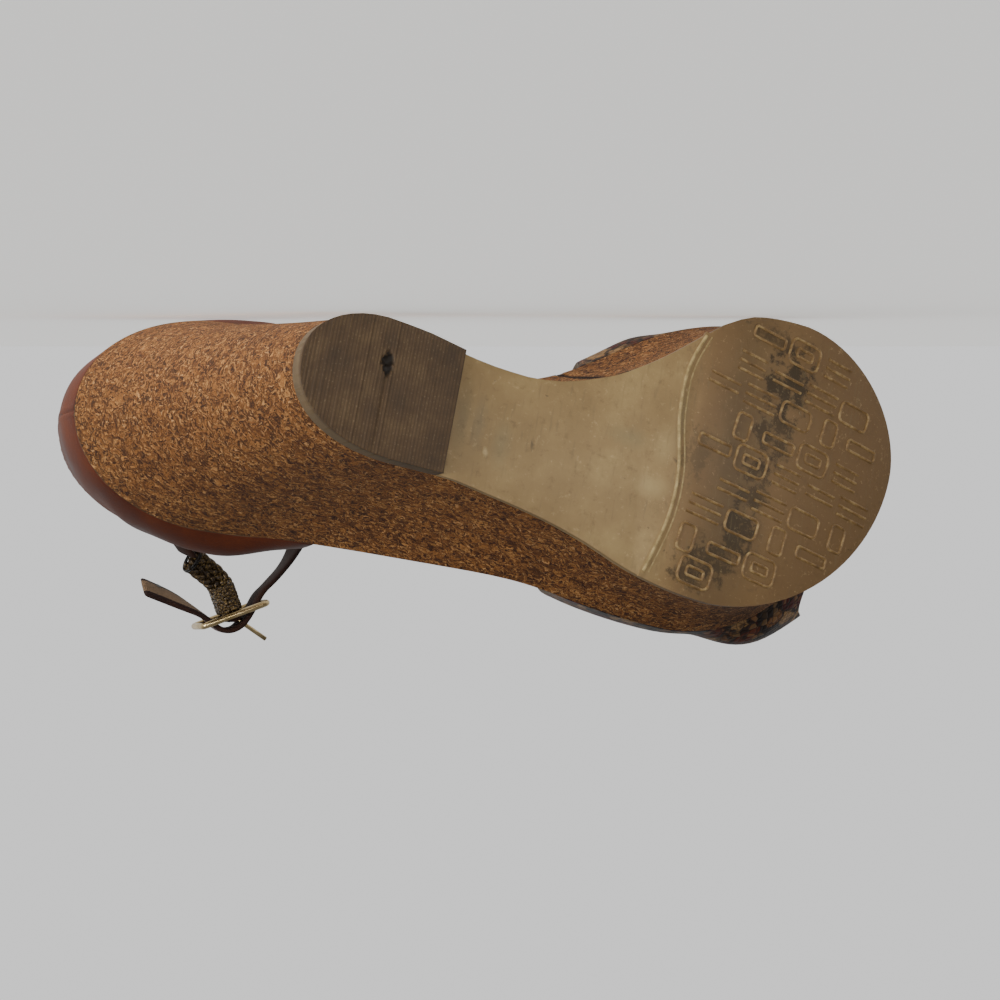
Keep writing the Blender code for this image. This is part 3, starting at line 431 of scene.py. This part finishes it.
def copyOfNode(node):  # a merged copy of a solid, in the shoe's own millimetres, in quads again
    bm = bmesh.new()
    bm.from_mesh(frame["nodes"][node].data)
    bmesh.ops.remove_doubles(bm, verts=bm.verts, dist=0.00001)
    bmesh.ops.transform(bm, matrix=shoePose.inverted(), verts=bm.verts)
    bmesh.ops.join_triangles(
        bm, faces=bm.faces, angle_face_threshold=math.radians(25), angle_shape_threshold=math.radians(60)
    )
    bm.normal_update()
    return bm


def spreadFrom(bm, seed, turn):  # the faces joined to the one nearest seed by edges that turn less
    bm.faces.ensure_lookup_table()
    start = min(bm.faces, key=lambda face: (face.calc_center_median() - Vector(seed)).length)
    found, fresh = {start: True}, [start]  # in the order of finding, so that each run is the same
    while fresh:
        face = fresh.pop()
        for edge in face.edges:
            for other in edge.link_faces:
                if other not in found and edge.calc_face_angle(0) < math.radians(turn):
                    found[other] = True
                    fresh.append(other)
    return found


def rimPaths(faces):  # the closed borders of some faces, each as points with the way into the faces
    border = {}
    for face in faces:
        for loop in face.loops:
            if any(other not in faces for other in loop.edge.link_faces):
                inward = face.calc_center_median() - loop.vert.co
                border[loop.vert] = (loop.link_loop_next.vert, inward)
    paths = []
    while border:
        vert = next(iter(border))
        path = []
        while vert in border:
            following, inward = border.pop(vert)
            path.append((vert.co.copy(), inward))
            vert = following
        paths.append(path)
    return paths


def softenEdges(bm, width, turn):
    sharp = [edge for edge in bm.edges if edge.calc_face_angle(0) > math.radians(turn)]
    bmesh.ops.bevel(
        bm, geom=sharp, offset=width, affect="EDGES", segments=2, profile=0.5, material=-1,
        clamp_overlap=True,
    )


def smoothed(bm, levels):  # the same surface after a subdivision
    mesh = bpy.data.meshes.new("forming")
    bm.to_mesh(mesh)
    bm.free()
    form = bpy.data.objects.new("forming", mesh)
    bpy.context.scene.collection.objects.link(form)
    finer = form.modifiers.new("finer", "SUBSURF")
    finer.levels = finer.render_levels = levels
    graph = bpy.context.evaluated_depsgraph_get()
    bm = bmesh.new()
    bm.from_mesh(form.evaluated_get(graph).to_mesh())
    bpy.data.objects.remove(form)
    bm.normal_update()
    return bm


def fold(bm, start, end, width, depth, bow=0.0):  # a soft trough (depth below 0) or ridge
    start, end = Vector(start), Vector(end)
    run = end - start
    for vert in bm.verts:
        t = max(0.0, min(1.0, (vert.co - start).dot(run) / run.length_squared))
        near = start + run * t + Vector((bow * 4 * t * (1 - t), 0, 0))
        away = (vert.co - near).length / width
        if away < 3:
            height = depth * math.exp(-away * away) * math.sin(math.pi * (0.12 + 0.76 * t))
            vert.co += vert.normal * height


lampLit = bpy.data.collections.new("lit by the lamps")  # the lamps leave the floor evenly pale


def finishPiece(name, bm, materials, replaces=None, turn=40):
    bmesh.ops.transform(bm, matrix=shoePose, verts=bm.verts)
    mesh = bpy.data.meshes.new(name)
    bm.to_mesh(mesh)
    bm.free()
    mesh.shade_smooth()
    mesh.set_sharp_from_angle(angle=math.radians(turn))
    for material in materials:
        mesh.materials.append(finishes[material])
    piece = bpy.data.objects.new(name, mesh)
    bpy.context.scene.collection.objects.link(piece)
    lampLit.objects.link(piece)
    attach(piece, "root")
    if replaces:
        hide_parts(replaces)
    return piece


def unbrokenRuns(path, wanted):  # the stretches of a closed border whose every step is wanted
    first = next((i for i, step in enumerate(path) if not wanted(step)), 0)
    runs = [[]]
    for step in path[first:] + path[:first]:
        if wanted(step):
            runs[-1].append(step)
        elif runs[-1]:
            runs.append([])
    return runs


stitch = {"pitch": 3.1, "length": 2.3, "width": 0.62, "sink": 0.14}


def addStitches(out, skin, path, inset):  # one row of thread, beside a border path
    points = [point + inward.normalized() * inset for point, inward in path]
    steps = [(b - a).length for a, b in zip(points, points[1:])]
    total = sum(steps)
    at, done, i = stitch["pitch"] / 2, 0.0, 0
    while at < total and i < len(steps):
        if done + steps[i] < at:
            done += steps[i]
            i += 1
            continue
        spot = points[i].lerp(points[i + 1], (at - done) / max(steps[i], 1e-6))
        hit, normal, _, _ = skin.find_nearest(spot)
        run = points[i + 1] - points[i]
        run = (run - normal * run.dot(normal)).normalized()
        turned = Matrix((run, normal.cross(run), normal)).transposed().to_4x4()
        size = Matrix.Diagonal((stitch["length"] / 2, stitch["width"] / 2, stitch["width"] / 2.4, 1))
        where = Matrix.Translation(hit - normal * stitch["sink"])
        bmesh.ops.create_icosphere(out, subdivisions=1, radius=1.0, matrix=where @ turned @ size)
        at += stitch["pitch"]


def cordMesh(lines, width, closed=False, sides=2):  # round cords through points
    curve = bpy.data.curves.new("cord", "CURVE")
    curve.dimensions = "3D"
    curve.bevel_depth = width / 2
    curve.bevel_resolution = sides
    curve.use_fill_caps = not closed
    for line in lines:
        spline = curve.splines.new("POLY")
        spline.points.add(len(line) - 1)
        for point, place in zip(spline.points, line):
            point.co = (*place, 1.0)
        spline.use_cyclic_u = closed
    form = bpy.data.objects.new("forming", curve)
    bpy.context.scene.collection.objects.link(form)
    bm = bmesh.new()
    bm.from_mesh(form.evaluated_get(bpy.context.evaluated_depsgraph_get()).to_mesh())
    bpy.data.objects.remove(form)
    bmesh.ops.recalc_face_normals(bm, faces=bm.faces)
    return bm


def makeWedge():
    bm = copyOfNode("wedge")
    softenEdges(bm, 0.6, 45)
    bm = smoothed(bm, 2)
    for side in (-1, 0, 1):  # a narrow groove along the joint
        place = wrapJoint["fromHeel"] + side * wrapJoint["halfWidth"]
        cut = bmesh.ops.bisect_plane(
            bm, geom=[*bm.verts, *bm.edges, *bm.faces],
            plane_co=(place, 0, 0), plane_no=(1, 0, wrapJoint["lean"]),
        )
        for vert in cut["geom_cut"]:
            if side == 0 and isinstance(vert, bmesh.types.BMVert) and vert.normal.y < -0.3:
                vert.co.y += wrapJoint["depth"]
    return finishPiece("cork_wedge", bm, ["cork"], "wedge", 50)


makeWedge()
print("wedge made")


def makeOutsole():
    bm = copyOfNode("outsole")
    softenEdges(bm, 0.35, 50)
    return finishPiece("rubber_outsole", bm, ["sole"], "outsole", 30)


makeOutsole()


def makeLift():  # fine ribs are cut across its tread face, and a nail hole has worn open in it
    bm = copyOfNode("heel_lift")
    x, row, grooves = lift["firstRib"], 0, []
    while x < lift["front"]:
        cut = bmesh.ops.bisect_plane(
            bm, geom=[*bm.verts, *bm.edges, *bm.faces], plane_co=(x, 0, 0), plane_no=(1, 0, 0)
        )
        if row % 2 == 0:
            grooves += [part for part in cut["geom_cut"] if isinstance(part, bmesh.types.BMVert)]
        x += lift["ribPitch"] / 2
        row += 1
    for vert in grooves:
        if vert.co.z < 0.05:
            vert.co.z += lift["ribDepth"]
    holeX, holeY = lift["hole"]
    for step in range(-8, 9):
        bmesh.ops.bisect_plane(
            bm, geom=[*bm.verts, *bm.edges, *bm.faces],
            plane_co=(0, holeY + step * 0.5, 0), plane_no=(0, 1, 0),
        )
    long, wide = lift["holeSize"]
    for vert in bm.verts:
        ragged = noise.noise(vert.co * 1.1) * lift["holeRagged"]
        away = math.hypot((vert.co.x - holeX) / long, (vert.co.y - holeY) / wide) + ragged
        if away < 1 and vert.co.z < 1:
            vert.co.z += lift["holeDepth"] * math.sqrt(1 - max(away, 0))
    return finishPiece("ribbed_lift", bm, ["lift"], "heel_lift", 50)


makeLift()
print("sole made")


def makeInsole():
    bm = copyOfNode("insole")
    softenEdges(bm, 0.6, 45)
    bm = smoothed(bm, 1)
    return finishPiece("leather_footbed", bm, ["footbed"], "insole", 50)


makeInsole()


def paintPatches(bm, outer, inner):  # 0 is the outer face, 1 the lining, 2 the cut edges
    for face in bm.faces:
        face.material_index = 0 if face in outer else 1 if face in inner else 2


# A leather wall made like its solid: its outer face, its lining and its cut edge painted apart.
def leatherWall(node, wall, folds):
    bm = copyOfNode(node)
    outer = spreadFrom(bm, wall["outside"], wall["turn"])
    inner = spreadFrom(bm, wall["inside"], wall["turn"])
    paintPatches(bm, outer, inner)
    rim = max(rimPaths(outer), key=len)
    softenEdges(bm, wall["edge"], 45)
    bm = smoothed(bm, 2)
    for row in folds:
        fold(bm, **row)
    return bm, rim


counter = {  # millimetres, and degrees for turn; the halves meet at backSeam, measured across the shoe
    "outside": (3, 5, 110), "inside": (9, 5, 110), "turn": 38, "edge": 0.5, "stitchInset": 2.6,
    "stitchedAbove": 60, "backSeam": 9.5,
}
seamProfile = (  # place across the seam, and how far it stands out
    (-2.2, 0), (-1.2, 0.22), (-0.35, 0), (0, -0.55), (0.35, 0), (1.2, 0.22), (2.2, 0),
)
counterFolds = (  # soft dents beside the heel
    {"start": (14, 34, 100), "end": (30, 37, 128), "width": 4.0, "depth": -0.6, "bow": 2},
    {"start": (24, 38, 102), "end": (40, 36, 124), "width": 3.4, "depth": 0.35, "bow": 2},
    {"start": (16, -24, 104), "end": (32, -28, 130), "width": 4.0, "depth": -0.55, "bow": 2},
)


def sewBackSeam(bm):  # the halves are sewn edge to edge: a groove between two low rolls
    seam = counter["backSeam"]

    def outside():
        for face in bm.faces:
            middle = face.calc_center_median()
            if face.material_index == 0 and middle.x < 40 and abs(middle.y - seam) < 8:
                yield face

    for shift, _ in seamProfile:
        around = {}  # filled in order, so that each run is the same
        for face in outside():
            around.update(dict.fromkeys((*face.verts, *face.edges, face)))
        bmesh.ops.bisect_plane(
            bm, geom=list(around), plane_co=(0, seam + shift, 0), plane_no=(0, 1, 0)
        )
    for vert in {vert for face in outside() for vert in face.verts}:
        across = vert.co.y - seam
        for (start, low), (end, high) in zip(seamProfile, seamProfile[1:]):
            if start < across <= end:
                vert.co.x -= low + (high - low) * (across - start) / (end - start)


def makeCounter():
    bm, rim = leatherWall("counter", counter, counterFolds)
    thread = bmesh.new()
    lowest = counter["stitchedAbove"]
    topLine = max(unbrokenRuns(rim, lambda step: step[0].z > lowest and step[1].z < 0), key=len)
    addStitches(thread, BVHTree.FromBMesh(bm), topLine, counter["stitchInset"])
    sewBackSeam(bm)
    finishPiece("counter_stitches", thread, ["thread"])
    return finishPiece("heel_counter", bm, ["cognac", "lining", "edge"], "counter", 60)


makeCounter()
print("counter made")


vamp = {
    "outside": (180, -6, 75), "inside": (180, -6, 64), "turn": 38, "edge": 0.5, "stitchInset": 2.8,
    "stitchedAbove": 31,
}
vampFolds = (  # creases of a worn forefoot, in millimetres
    {"start": (158, -34, 66), "end": (160, 20, 74), "width": 3.2, "depth": -0.7, "bow": 3},
    {"start": (168, -40, 55), "end": (172, 26, 62), "width": 3.6, "depth": -0.8, "bow": 4},
    {"start": (163, -38, 60), "end": (166, 24, 68), "width": 3.0, "depth": 0.5, "bow": 3},
    {"start": (186, -42, 48), "end": (190, 22, 56), "width": 4.2, "depth": -0.6, "bow": 3},
)


def makeVamp():
    bm, rim = leatherWall("vamp", vamp, vampFolds)
    skin = BVHTree.FromBMesh(bm)
    thread = bmesh.new()
    for run in unbrokenRuns(rim, lambda step: step[0].z > vamp["stitchedAbove"]):
        addStitches(thread, skin, run, vamp["stitchInset"])
    finishPiece("vamp_stitches", thread, ["thread"])
    return finishPiece("forefoot_band", bm, ["snake", "lining", "edge"], "vamp", 60)


makeVamp()
print("vamp made")


def makeStrap():
    bm = copyOfNode("ankle_strap")
    outer = spreadFrom(bm, (90, -20, 155), 36)
    paintPatches(bm, outer, set())
    for face in bm.faces:
        if face not in outer and face.calc_area() > 6:  # the inner side, paler on the free tail, where it is the lining; elsewhere painted shade in the darker strap leather
            middle = face.calc_center_median()
            face.material_index = 1 if middle.x < 78 and middle.y > 48 else 3
    bm = smoothed(bm, 1)
    # the strap's edges and its inner side away from the tail take the painted shade leather
    materials = ["strap", "lining", "shadedStrap", "shadedStrap"]
    return finishPiece("ankle_band", bm, materials, "ankle_strap", 60)


makeStrap()

strapHoles = {
    "buckle": (79.3, 55.5, 150), "toTail": (-0.853, 0.522, 0), "outward": (0.522, 0.853, 0),
    "places": (13, 20, 27), "radius": 1.05, "rim": 0.22, "rimHeight": 0.06, "wall": 0.16, "depth": 0.1,
}


def makeStrapHoles():  # punched holes in the strap's free end: a pressed rim around a hollow coloured near-black as painted shade
    bm = copyOfNode("ankle_strap")
    skin = BVHTree.FromBMesh(bm)
    bm.free()
    holes = bmesh.new()
    for place in strapHoles["places"]:
        spot = Vector(strapHoles["buckle"]) + Vector(strapHoles["toTail"]) * place
        for side in (1, -1):
            outward = Vector(strapHoles["outward"]) * side
            hit, normal, _, _ = skin.ray_cast(spot + outward * 20, -outward)
            if hit is None:
                continue
            turned = normal.to_track_quat("Z", "Y").to_matrix().to_4x4()
            made = bmesh.ops.create_circle(
                holes, cap_ends=True, segments=20, radius=strapHoles["radius"],
                matrix=Matrix.Translation(hit + normal * 0.04) @ turned,
            )
            face = made["verts"][0].link_faces[0]
            for width, rise in (
                (strapHoles["rim"], strapHoles["rimHeight"]), (strapHoles["wall"], -strapHoles["depth"]),
            ):
                bmesh.ops.inset_region(holes, faces=[face], thickness=width, depth=rise)
            # painted shade: the floor of the hole takes the near-black thread finish
            face.material_index = 1
    finishPiece("strap_holes", holes, ["edge", "blackThreadAndHoleShade"])


makeStrapHoles()


def plainSkin(node, name, material, level, turn):
    bm = copyOfNode(node)
    if level:
        bm = smoothed(bm, level)
    return finishPiece(name, bm, [material], node, turn)


# The braid tab and the keeper take the strap leather darkened as painted shade.
plainSkin("braid_tab", "leather_tab", "shadedStrap", 1, 45)
plainSkin("buckle_loop", "keeper_loop", "shadedStrap", 0, 40)
plainSkin("buckle_frame", "buckle", "metal", 0, 60)
plainSkin("buckle_prong", "prong", "metal", 0, 60)
print("straps and buckle made")

braid = {
    "route": (
        (60.0, 40.6, 141.5), (65.2, 42.4, 145.4), (70.6, 44.4, 149.0), (74.0, 46.8, 150.0),
        (74.9, 48.2, 150.0),
    ),
    "cordGap": 2.1, "strand": 2.1, "swing": 1.35, "lift": 0.85, "pitch": 8.0, "steps": 72,
    "binding": (0.0, 0.08), "bindingThread": 0.55, "bindingAcross": 4.55, "bindingOut": 2.15,
    "sleeve": ((74.1, 47.0, 150.0), (78.5, 54.1, 150.0)), "halfAcross": 3.1, "halfOut": 4.9,
    "sleeveStrand": 1.4, "sleeveTurns": 0.9, "sleeveStrands": 8, "sleeveStart": 0.3, "weave": 0.35,
}


def routePoint(points, t):  # a point of the smooth line through a few points
    last = len(points) - 1
    i = min(int(t * last), last - 1)
    u = t * last - i
    a, b, c, d = (points[max(0, min(last, i + k))] for k in (-1, 0, 1, 2))
    square, cube = 2 * a - 5 * b + 4 * c - d, 3 * b - a - 3 * c + d
    return 0.5 * (2 * b + (c - a) * u + square * u * u + cube * u ** 3)


def braidPlace(points, t, across, out):  # a place beside the braid's middle line
    ahead = (routePoint(points, min(t + 0.01, 1)) - routePoint(points, max(t - 0.01, 0))).normalized()
    outward = (Vector((0, 0, 1)) - ahead * ahead.z).normalized()
    return routePoint(points, t) + ahead.cross(outward) * across + outward * out


def makeBraid():  # two plaits of three strands, side by side, bound with black thread at the tab end
    points = [Vector(place) for place in braid["route"]]
    steps = braid["steps"]
    length = sum((b - a).length for a, b in zip(points, points[1:]))
    turns = length / braid["pitch"] * 2 * math.pi
    for name, side in (("plait_medial", -1), ("plait_lateral", 1)):
        lines = []
        for strand in range(3):
            line = []
            for i in range(steps + 1):
                angle = turns * i / steps + strand * 2 * math.pi / 3 + side
                wide = side * braid["cordGap"] + braid["swing"] * math.sin(angle)
                line.append(braidPlace(points, i / steps, wide, braid["lift"] * math.sin(2 * angle)))
            lines.append(line)
        bm = cordMesh(lines, braid["strand"])
        piece = finishPiece(name, bm, ["braid" if side > 0 else "darkBraid"], None, 60)
        if side > 0:
            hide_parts("braid_strap")
    start, end = braid["binding"]
    wraps = int((end - start) * length / braid["bindingThread"])
    line = []
    for i in range(wraps * 20 + 1):
        angle = i / 20 * 2 * math.pi
        t = start + (end - start) * i / (wraps * 20)
        across, out = braid["bindingAcross"] * math.cos(angle), braid["bindingOut"] * math.sin(angle)
        line.append(braidPlace(points, t, across, out))
    bm = cordMesh([line], braid["bindingThread"])
    finishPiece("binding_at_tab", bm, ["blackThreadAndHoleShade"], None, 60)


def makeSleeve():  # the same cord, woven both ways round the loop up to the buckle's bar
    points = [Vector(place) for place in braid["sleeve"]]
    count = braid["sleeveStrands"]
    for name, hand, material in (("sleeve_right", 1, "braid"), ("sleeve_left", -1, "darkBraid")):
        lines = []
        for strand in range(count):
            line = []
            for i in range(61):
                t = i / 60
                angle = hand * (t * braid["sleeveTurns"] + strand / count) * 2 * math.pi
                angle += braid["sleeveStart"]
                crossing = count * (t * braid["sleeveTurns"] * 2 + 0.5 * strand / count) * 2 * math.pi
                over = 1 + hand * braid["weave"] / braid["halfOut"] * math.cos(crossing)
                across, out = (
                    math.copysign(math.sqrt(abs(side)), side) * over
                    for side in (math.cos(angle), math.sin(angle))
                )
                line.append(braidPlace(points, t, across * braid["halfAcross"], out * braid["halfOut"]))
            lines.append(line)
        finishPiece(name, cordMesh(lines, braid["sleeveStrand"]), [material], None, 60)


makeBraid()
makeSleeve()
print("braid made")

tread = {  # places and sizes in millimetres on the sole
    "line": 0.9, "skew": math.radians(9), "first": 150.7, "middle": -3.0, "pitchX": 12.8, "pitchY": 9.4,
    "stagger": 4.5, "columns": 8, "rows": (-7, 6), "barGap": 2.7, "margin": 1.3, "ribRoom": 3.2,
    "rib": ((160, -41.8), (155.5, -30), (155, -16), (157.5, 0), (156.5, 14), (151, 31.8)),
}
treadShapes = (  # rounded outlines (length, width) or bars (length, number of bars)
    {"outlines": ((10.8, 7.6), (5.6, 2.6))}, {"bars": (11.0, 3)}, {"outlines": ((11.0, 3.2),)},
    {"bars": (10.4, 2)}, {"outlines": ((5.0, 7.8),)}, {"bars": (9.0, 3)}, {"outlines": ((10.8, 6.2),)},
)


def roundedOutline(long, wide):
    corner = min(long, wide) * 0.26
    outline = []
    for quarter, (sx, sy) in enumerate(((1, 1), (-1, 1), (-1, -1), (1, -1))):
        for k in range(5):
            angle = math.pi / 2 * (quarter + k / 4)
            outline.append((
                sx * (long / 2 - corner) + corner * math.cos(angle),
                sy * (wide / 2 - corner) + corner * math.sin(angle),
            ))
    return outline


def onSole(skin, x, y, drop=0.0):  # the place straight below, on the sole's underside
    hit = skin.ray_cast(Vector((x, y, -20)), Vector((0, 0, 1)))[0]
    return None if hit is None else Vector((x, y, hit.z + drop))


def makeTread():  # raised outlines and bars, moulded on the forefoot, and the rib behind them, rubbed pale and painted pale as a highlight
    bm = copyOfNode("outsole")
    skin = BVHTree.FromBMesh(bm)
    bm.free()
    route = [Vector((*place, 0)) for place in tread["rib"]]
    ribLine = [routePoint(route, i / 60) for i in range(61)]

    def ribAt(y):
        return min(ribLine, key=lambda place: abs(place.y - y)).x

    cos, sin = math.cos(tread["skew"]), math.sin(tread["skew"])
    groups = {True: [], False: []}
    for row in range(tread["rows"][0], tread["rows"][1]):
        for column in range(tread["columns"]):
            shape = treadShapes[(row * 3 + column * 5) % len(treadShapes)]
            cx = tread["first"] + column * tread["pitchX"] + (row % 2) * tread["stagger"]
            cy = tread["middle"] + row * tread["pitchY"] + column * tread["pitchX"] * sin
            lines = [(True, roundedOutline(*size)) for size in shape.get("outlines", ())]
            if "bars" in shape:
                long, count = shape["bars"]
                for k in range(count):
                    across = (k - (count - 1) / 2) * tread["barGap"]
                    lines.append((False, [(long * (i / 6 - 0.5), across) for i in range(7)]))
            placed = []
            for closed, line in lines:
                spots = [(cx + u * cos - v * sin, cy + u * sin + v * cos) for u, v in line]
                placed.append((closed, spots))
            margin = tread["margin"]
            reach = [
                onSole(skin, x + math.copysign(margin, x - cx), y + math.copysign(margin, y - cy))
                for closed, spots in placed for x, y in spots
            ]
            clear = all(x > ribAt(y) + tread["ribRoom"] for closed, spots in placed for x, y in spots)
            if clear and None not in reach:
                for closed, spots in placed:
                    groups[closed].append([onSole(skin, x, y) for x, y in spots])
    finishPiece("tread_outlines", cordMesh(groups[True], tread["line"], True), ["ridge"])
    finishPiece("tread_bars", cordMesh(groups[False], tread["line"]), ["ridge"])
    for name, ahead, width in (("tread_rib", 0.0, 1.15), ("tread_line", 1.9, 0.6)):
        line = [routePoint(route, 0.03 + 0.94 * i / 60) for i in range(61)]
        line = [onSole(skin, place.x + ahead, place.y, 0.12) for place in line]
        finishPiece(name, cordMesh([[p for p in line if p]], width), ["rib"])


makeTread()
print("tread made")

# Camera: low on the sole's side, rolled so that the lateral side is down in the picture.
camera = {"from": (-0.1891, 0.4958, 0.010), "at": (0.006, 0.03, 0.055), "lens": 60.0, "roll": 180.0}


def placeCamera():
    spot, aim = Vector(camera["from"]), Vector(camera["at"])
    view = (aim - spot).normalized()
    right = view.cross(Vector((0, 0, 1))).normalized()
    up = right.cross(view)
    roll = math.radians(camera["roll"])
    turnedRight = right * math.cos(roll) + up * math.sin(roll)
    turnedUp = up * math.cos(roll) - right * math.sin(roll)
    data = bpy.data.cameras.new("camera")
    data.lens = camera["lens"]
    data.clip_start = 0.01
    eye = bpy.data.objects.new("camera", data)
    bpy.context.scene.collection.objects.link(eye)
    turned = Matrix((turnedRight, turnedUp, -view)).transposed().to_4x4()
    eye.matrix_world = Matrix.Translation(spot) @ turned
    bpy.context.scene.camera = eye


placeCamera()

studio = {"reach": 3.0, "drop": 0.0003, "floor": "f4f3f0", "glow": 0.62, "behind": 0.95, "around": 0.26}
lamps = {  # in metres and watts
    "key": {"from": (-0.80, 0.36, 0.045), "at": (0, 0.05, 0.02), "size": (0.16, 0.16), "power": 5.0},
    "floor strip": {
        "from": (-0.06, 0.235, 0.014), "at": (-0.06, 0.08, 0.035), "size": (0.5, 0.02), "power": 0.4,
    },
    "table lamp": {
        "from": (-0.18, 0.05, -0.08), "at": (-0.08, 0.03, 0.04), "size": (0.12, 0.12), "power": 0.72,
    },
}


def stagePiece(name, bm, material):
    mesh = bpy.data.meshes.new(name)
    bm.to_mesh(mesh)
    bm.free()
    mesh.materials.append(material)
    piece = bpy.data.objects.new(name, mesh)
    bpy.context.scene.collection.objects.link(piece)
    return piece


def makeStudio():
    # Opal acrylic, lit from below like a light table: evenly pale and matt.
    opal = newFinish(
        "opal acrylic light table", Roughness=0.9, Base_Color=studio["floor"],
        Emission_Color=studio["floor"], Emission_Strength=studio["glow"],
    )[0]
    bm = bmesh.new()
    bmesh.ops.create_circle(
        bm, cap_ends=True, segments=96, radius=studio["reach"],
        matrix=Matrix.Translation((0, 0, -studio["drop"])),
    )
    stagePiece("floor", bm, opal)
    # White paper, evenly lit: a pale ground all round, which sends no light back to the shoe.
    paper = newFinish(
        "white paper backdrop", Roughness=1.0, Base_Color="000000", Specular_IOR_Level=0.0,
        Emission_Color="ffffff", Emission_Strength=studio["behind"],
    )[0]
    bm = bmesh.new()
    bmesh.ops.create_cone(
        bm, segments=96, radius1=studio["reach"], radius2=studio["reach"], depth=2 * studio["reach"],
        matrix=Matrix.Translation((0, 0, studio["reach"] - studio["drop"])),
    )
    bmesh.ops.reverse_faces(bm, faces=bm.faces)
    wall = stagePiece("backdrop", bm, paper)
    wall.visible_diffuse = wall.visible_glossy = wall.visible_transmission = wall.visible_shadow = False
    world = bpy.data.worlds.new("studio")
    bpy.context.scene.world = world
    world.use_nodes = True
    tree = world.node_tree
    way = addNode(tree, "SeparateXYZ", addNode(tree, "TexCoord").outputs["Generated"])
    behind = addNode(tree, "MapRange", way.outputs[1], -0.05, -0.6)  # pale behind the shoe
    low = addNode(tree, "MapRange", way.outputs[2], 0.8, 0.4)  # dimmer above and in front
    sky = addNode(tree, "Math", behind, low, operation="MULTIPLY")
    background = tree.nodes["Background"]
    plug(background.inputs["Color"], "ffffff")
    sky = addNode(tree, "MapRange", sky, 0.0, 1.0, studio["around"], studio["behind"])
    plug(background.inputs["Strength"], sky)


def makeLamps():
    for name, row in lamps.items():
        light = bpy.data.lights.new(name, "AREA")
        light.shape = "RECTANGLE"
        light.size, light.size_y = row["size"]
        light.energy = row["power"]
        lamp = bpy.data.objects.new(name, light)
        bpy.context.scene.collection.objects.link(lamp)
        lamp.location = row["from"]
        lamp.visible_camera = False
        lamp.light_linking.receiver_collection = lampLit
        lamp.light_linking.blocker_collection = lampLit  # so the table's own lamp shines up through it
        ahead = Vector(row["at"]) - Vector(row["from"])
        lamp.rotation_euler = ahead.to_track_quat("-Z", "Y").to_euler()


makeStudio()
makeLamps()
print("studio ready")
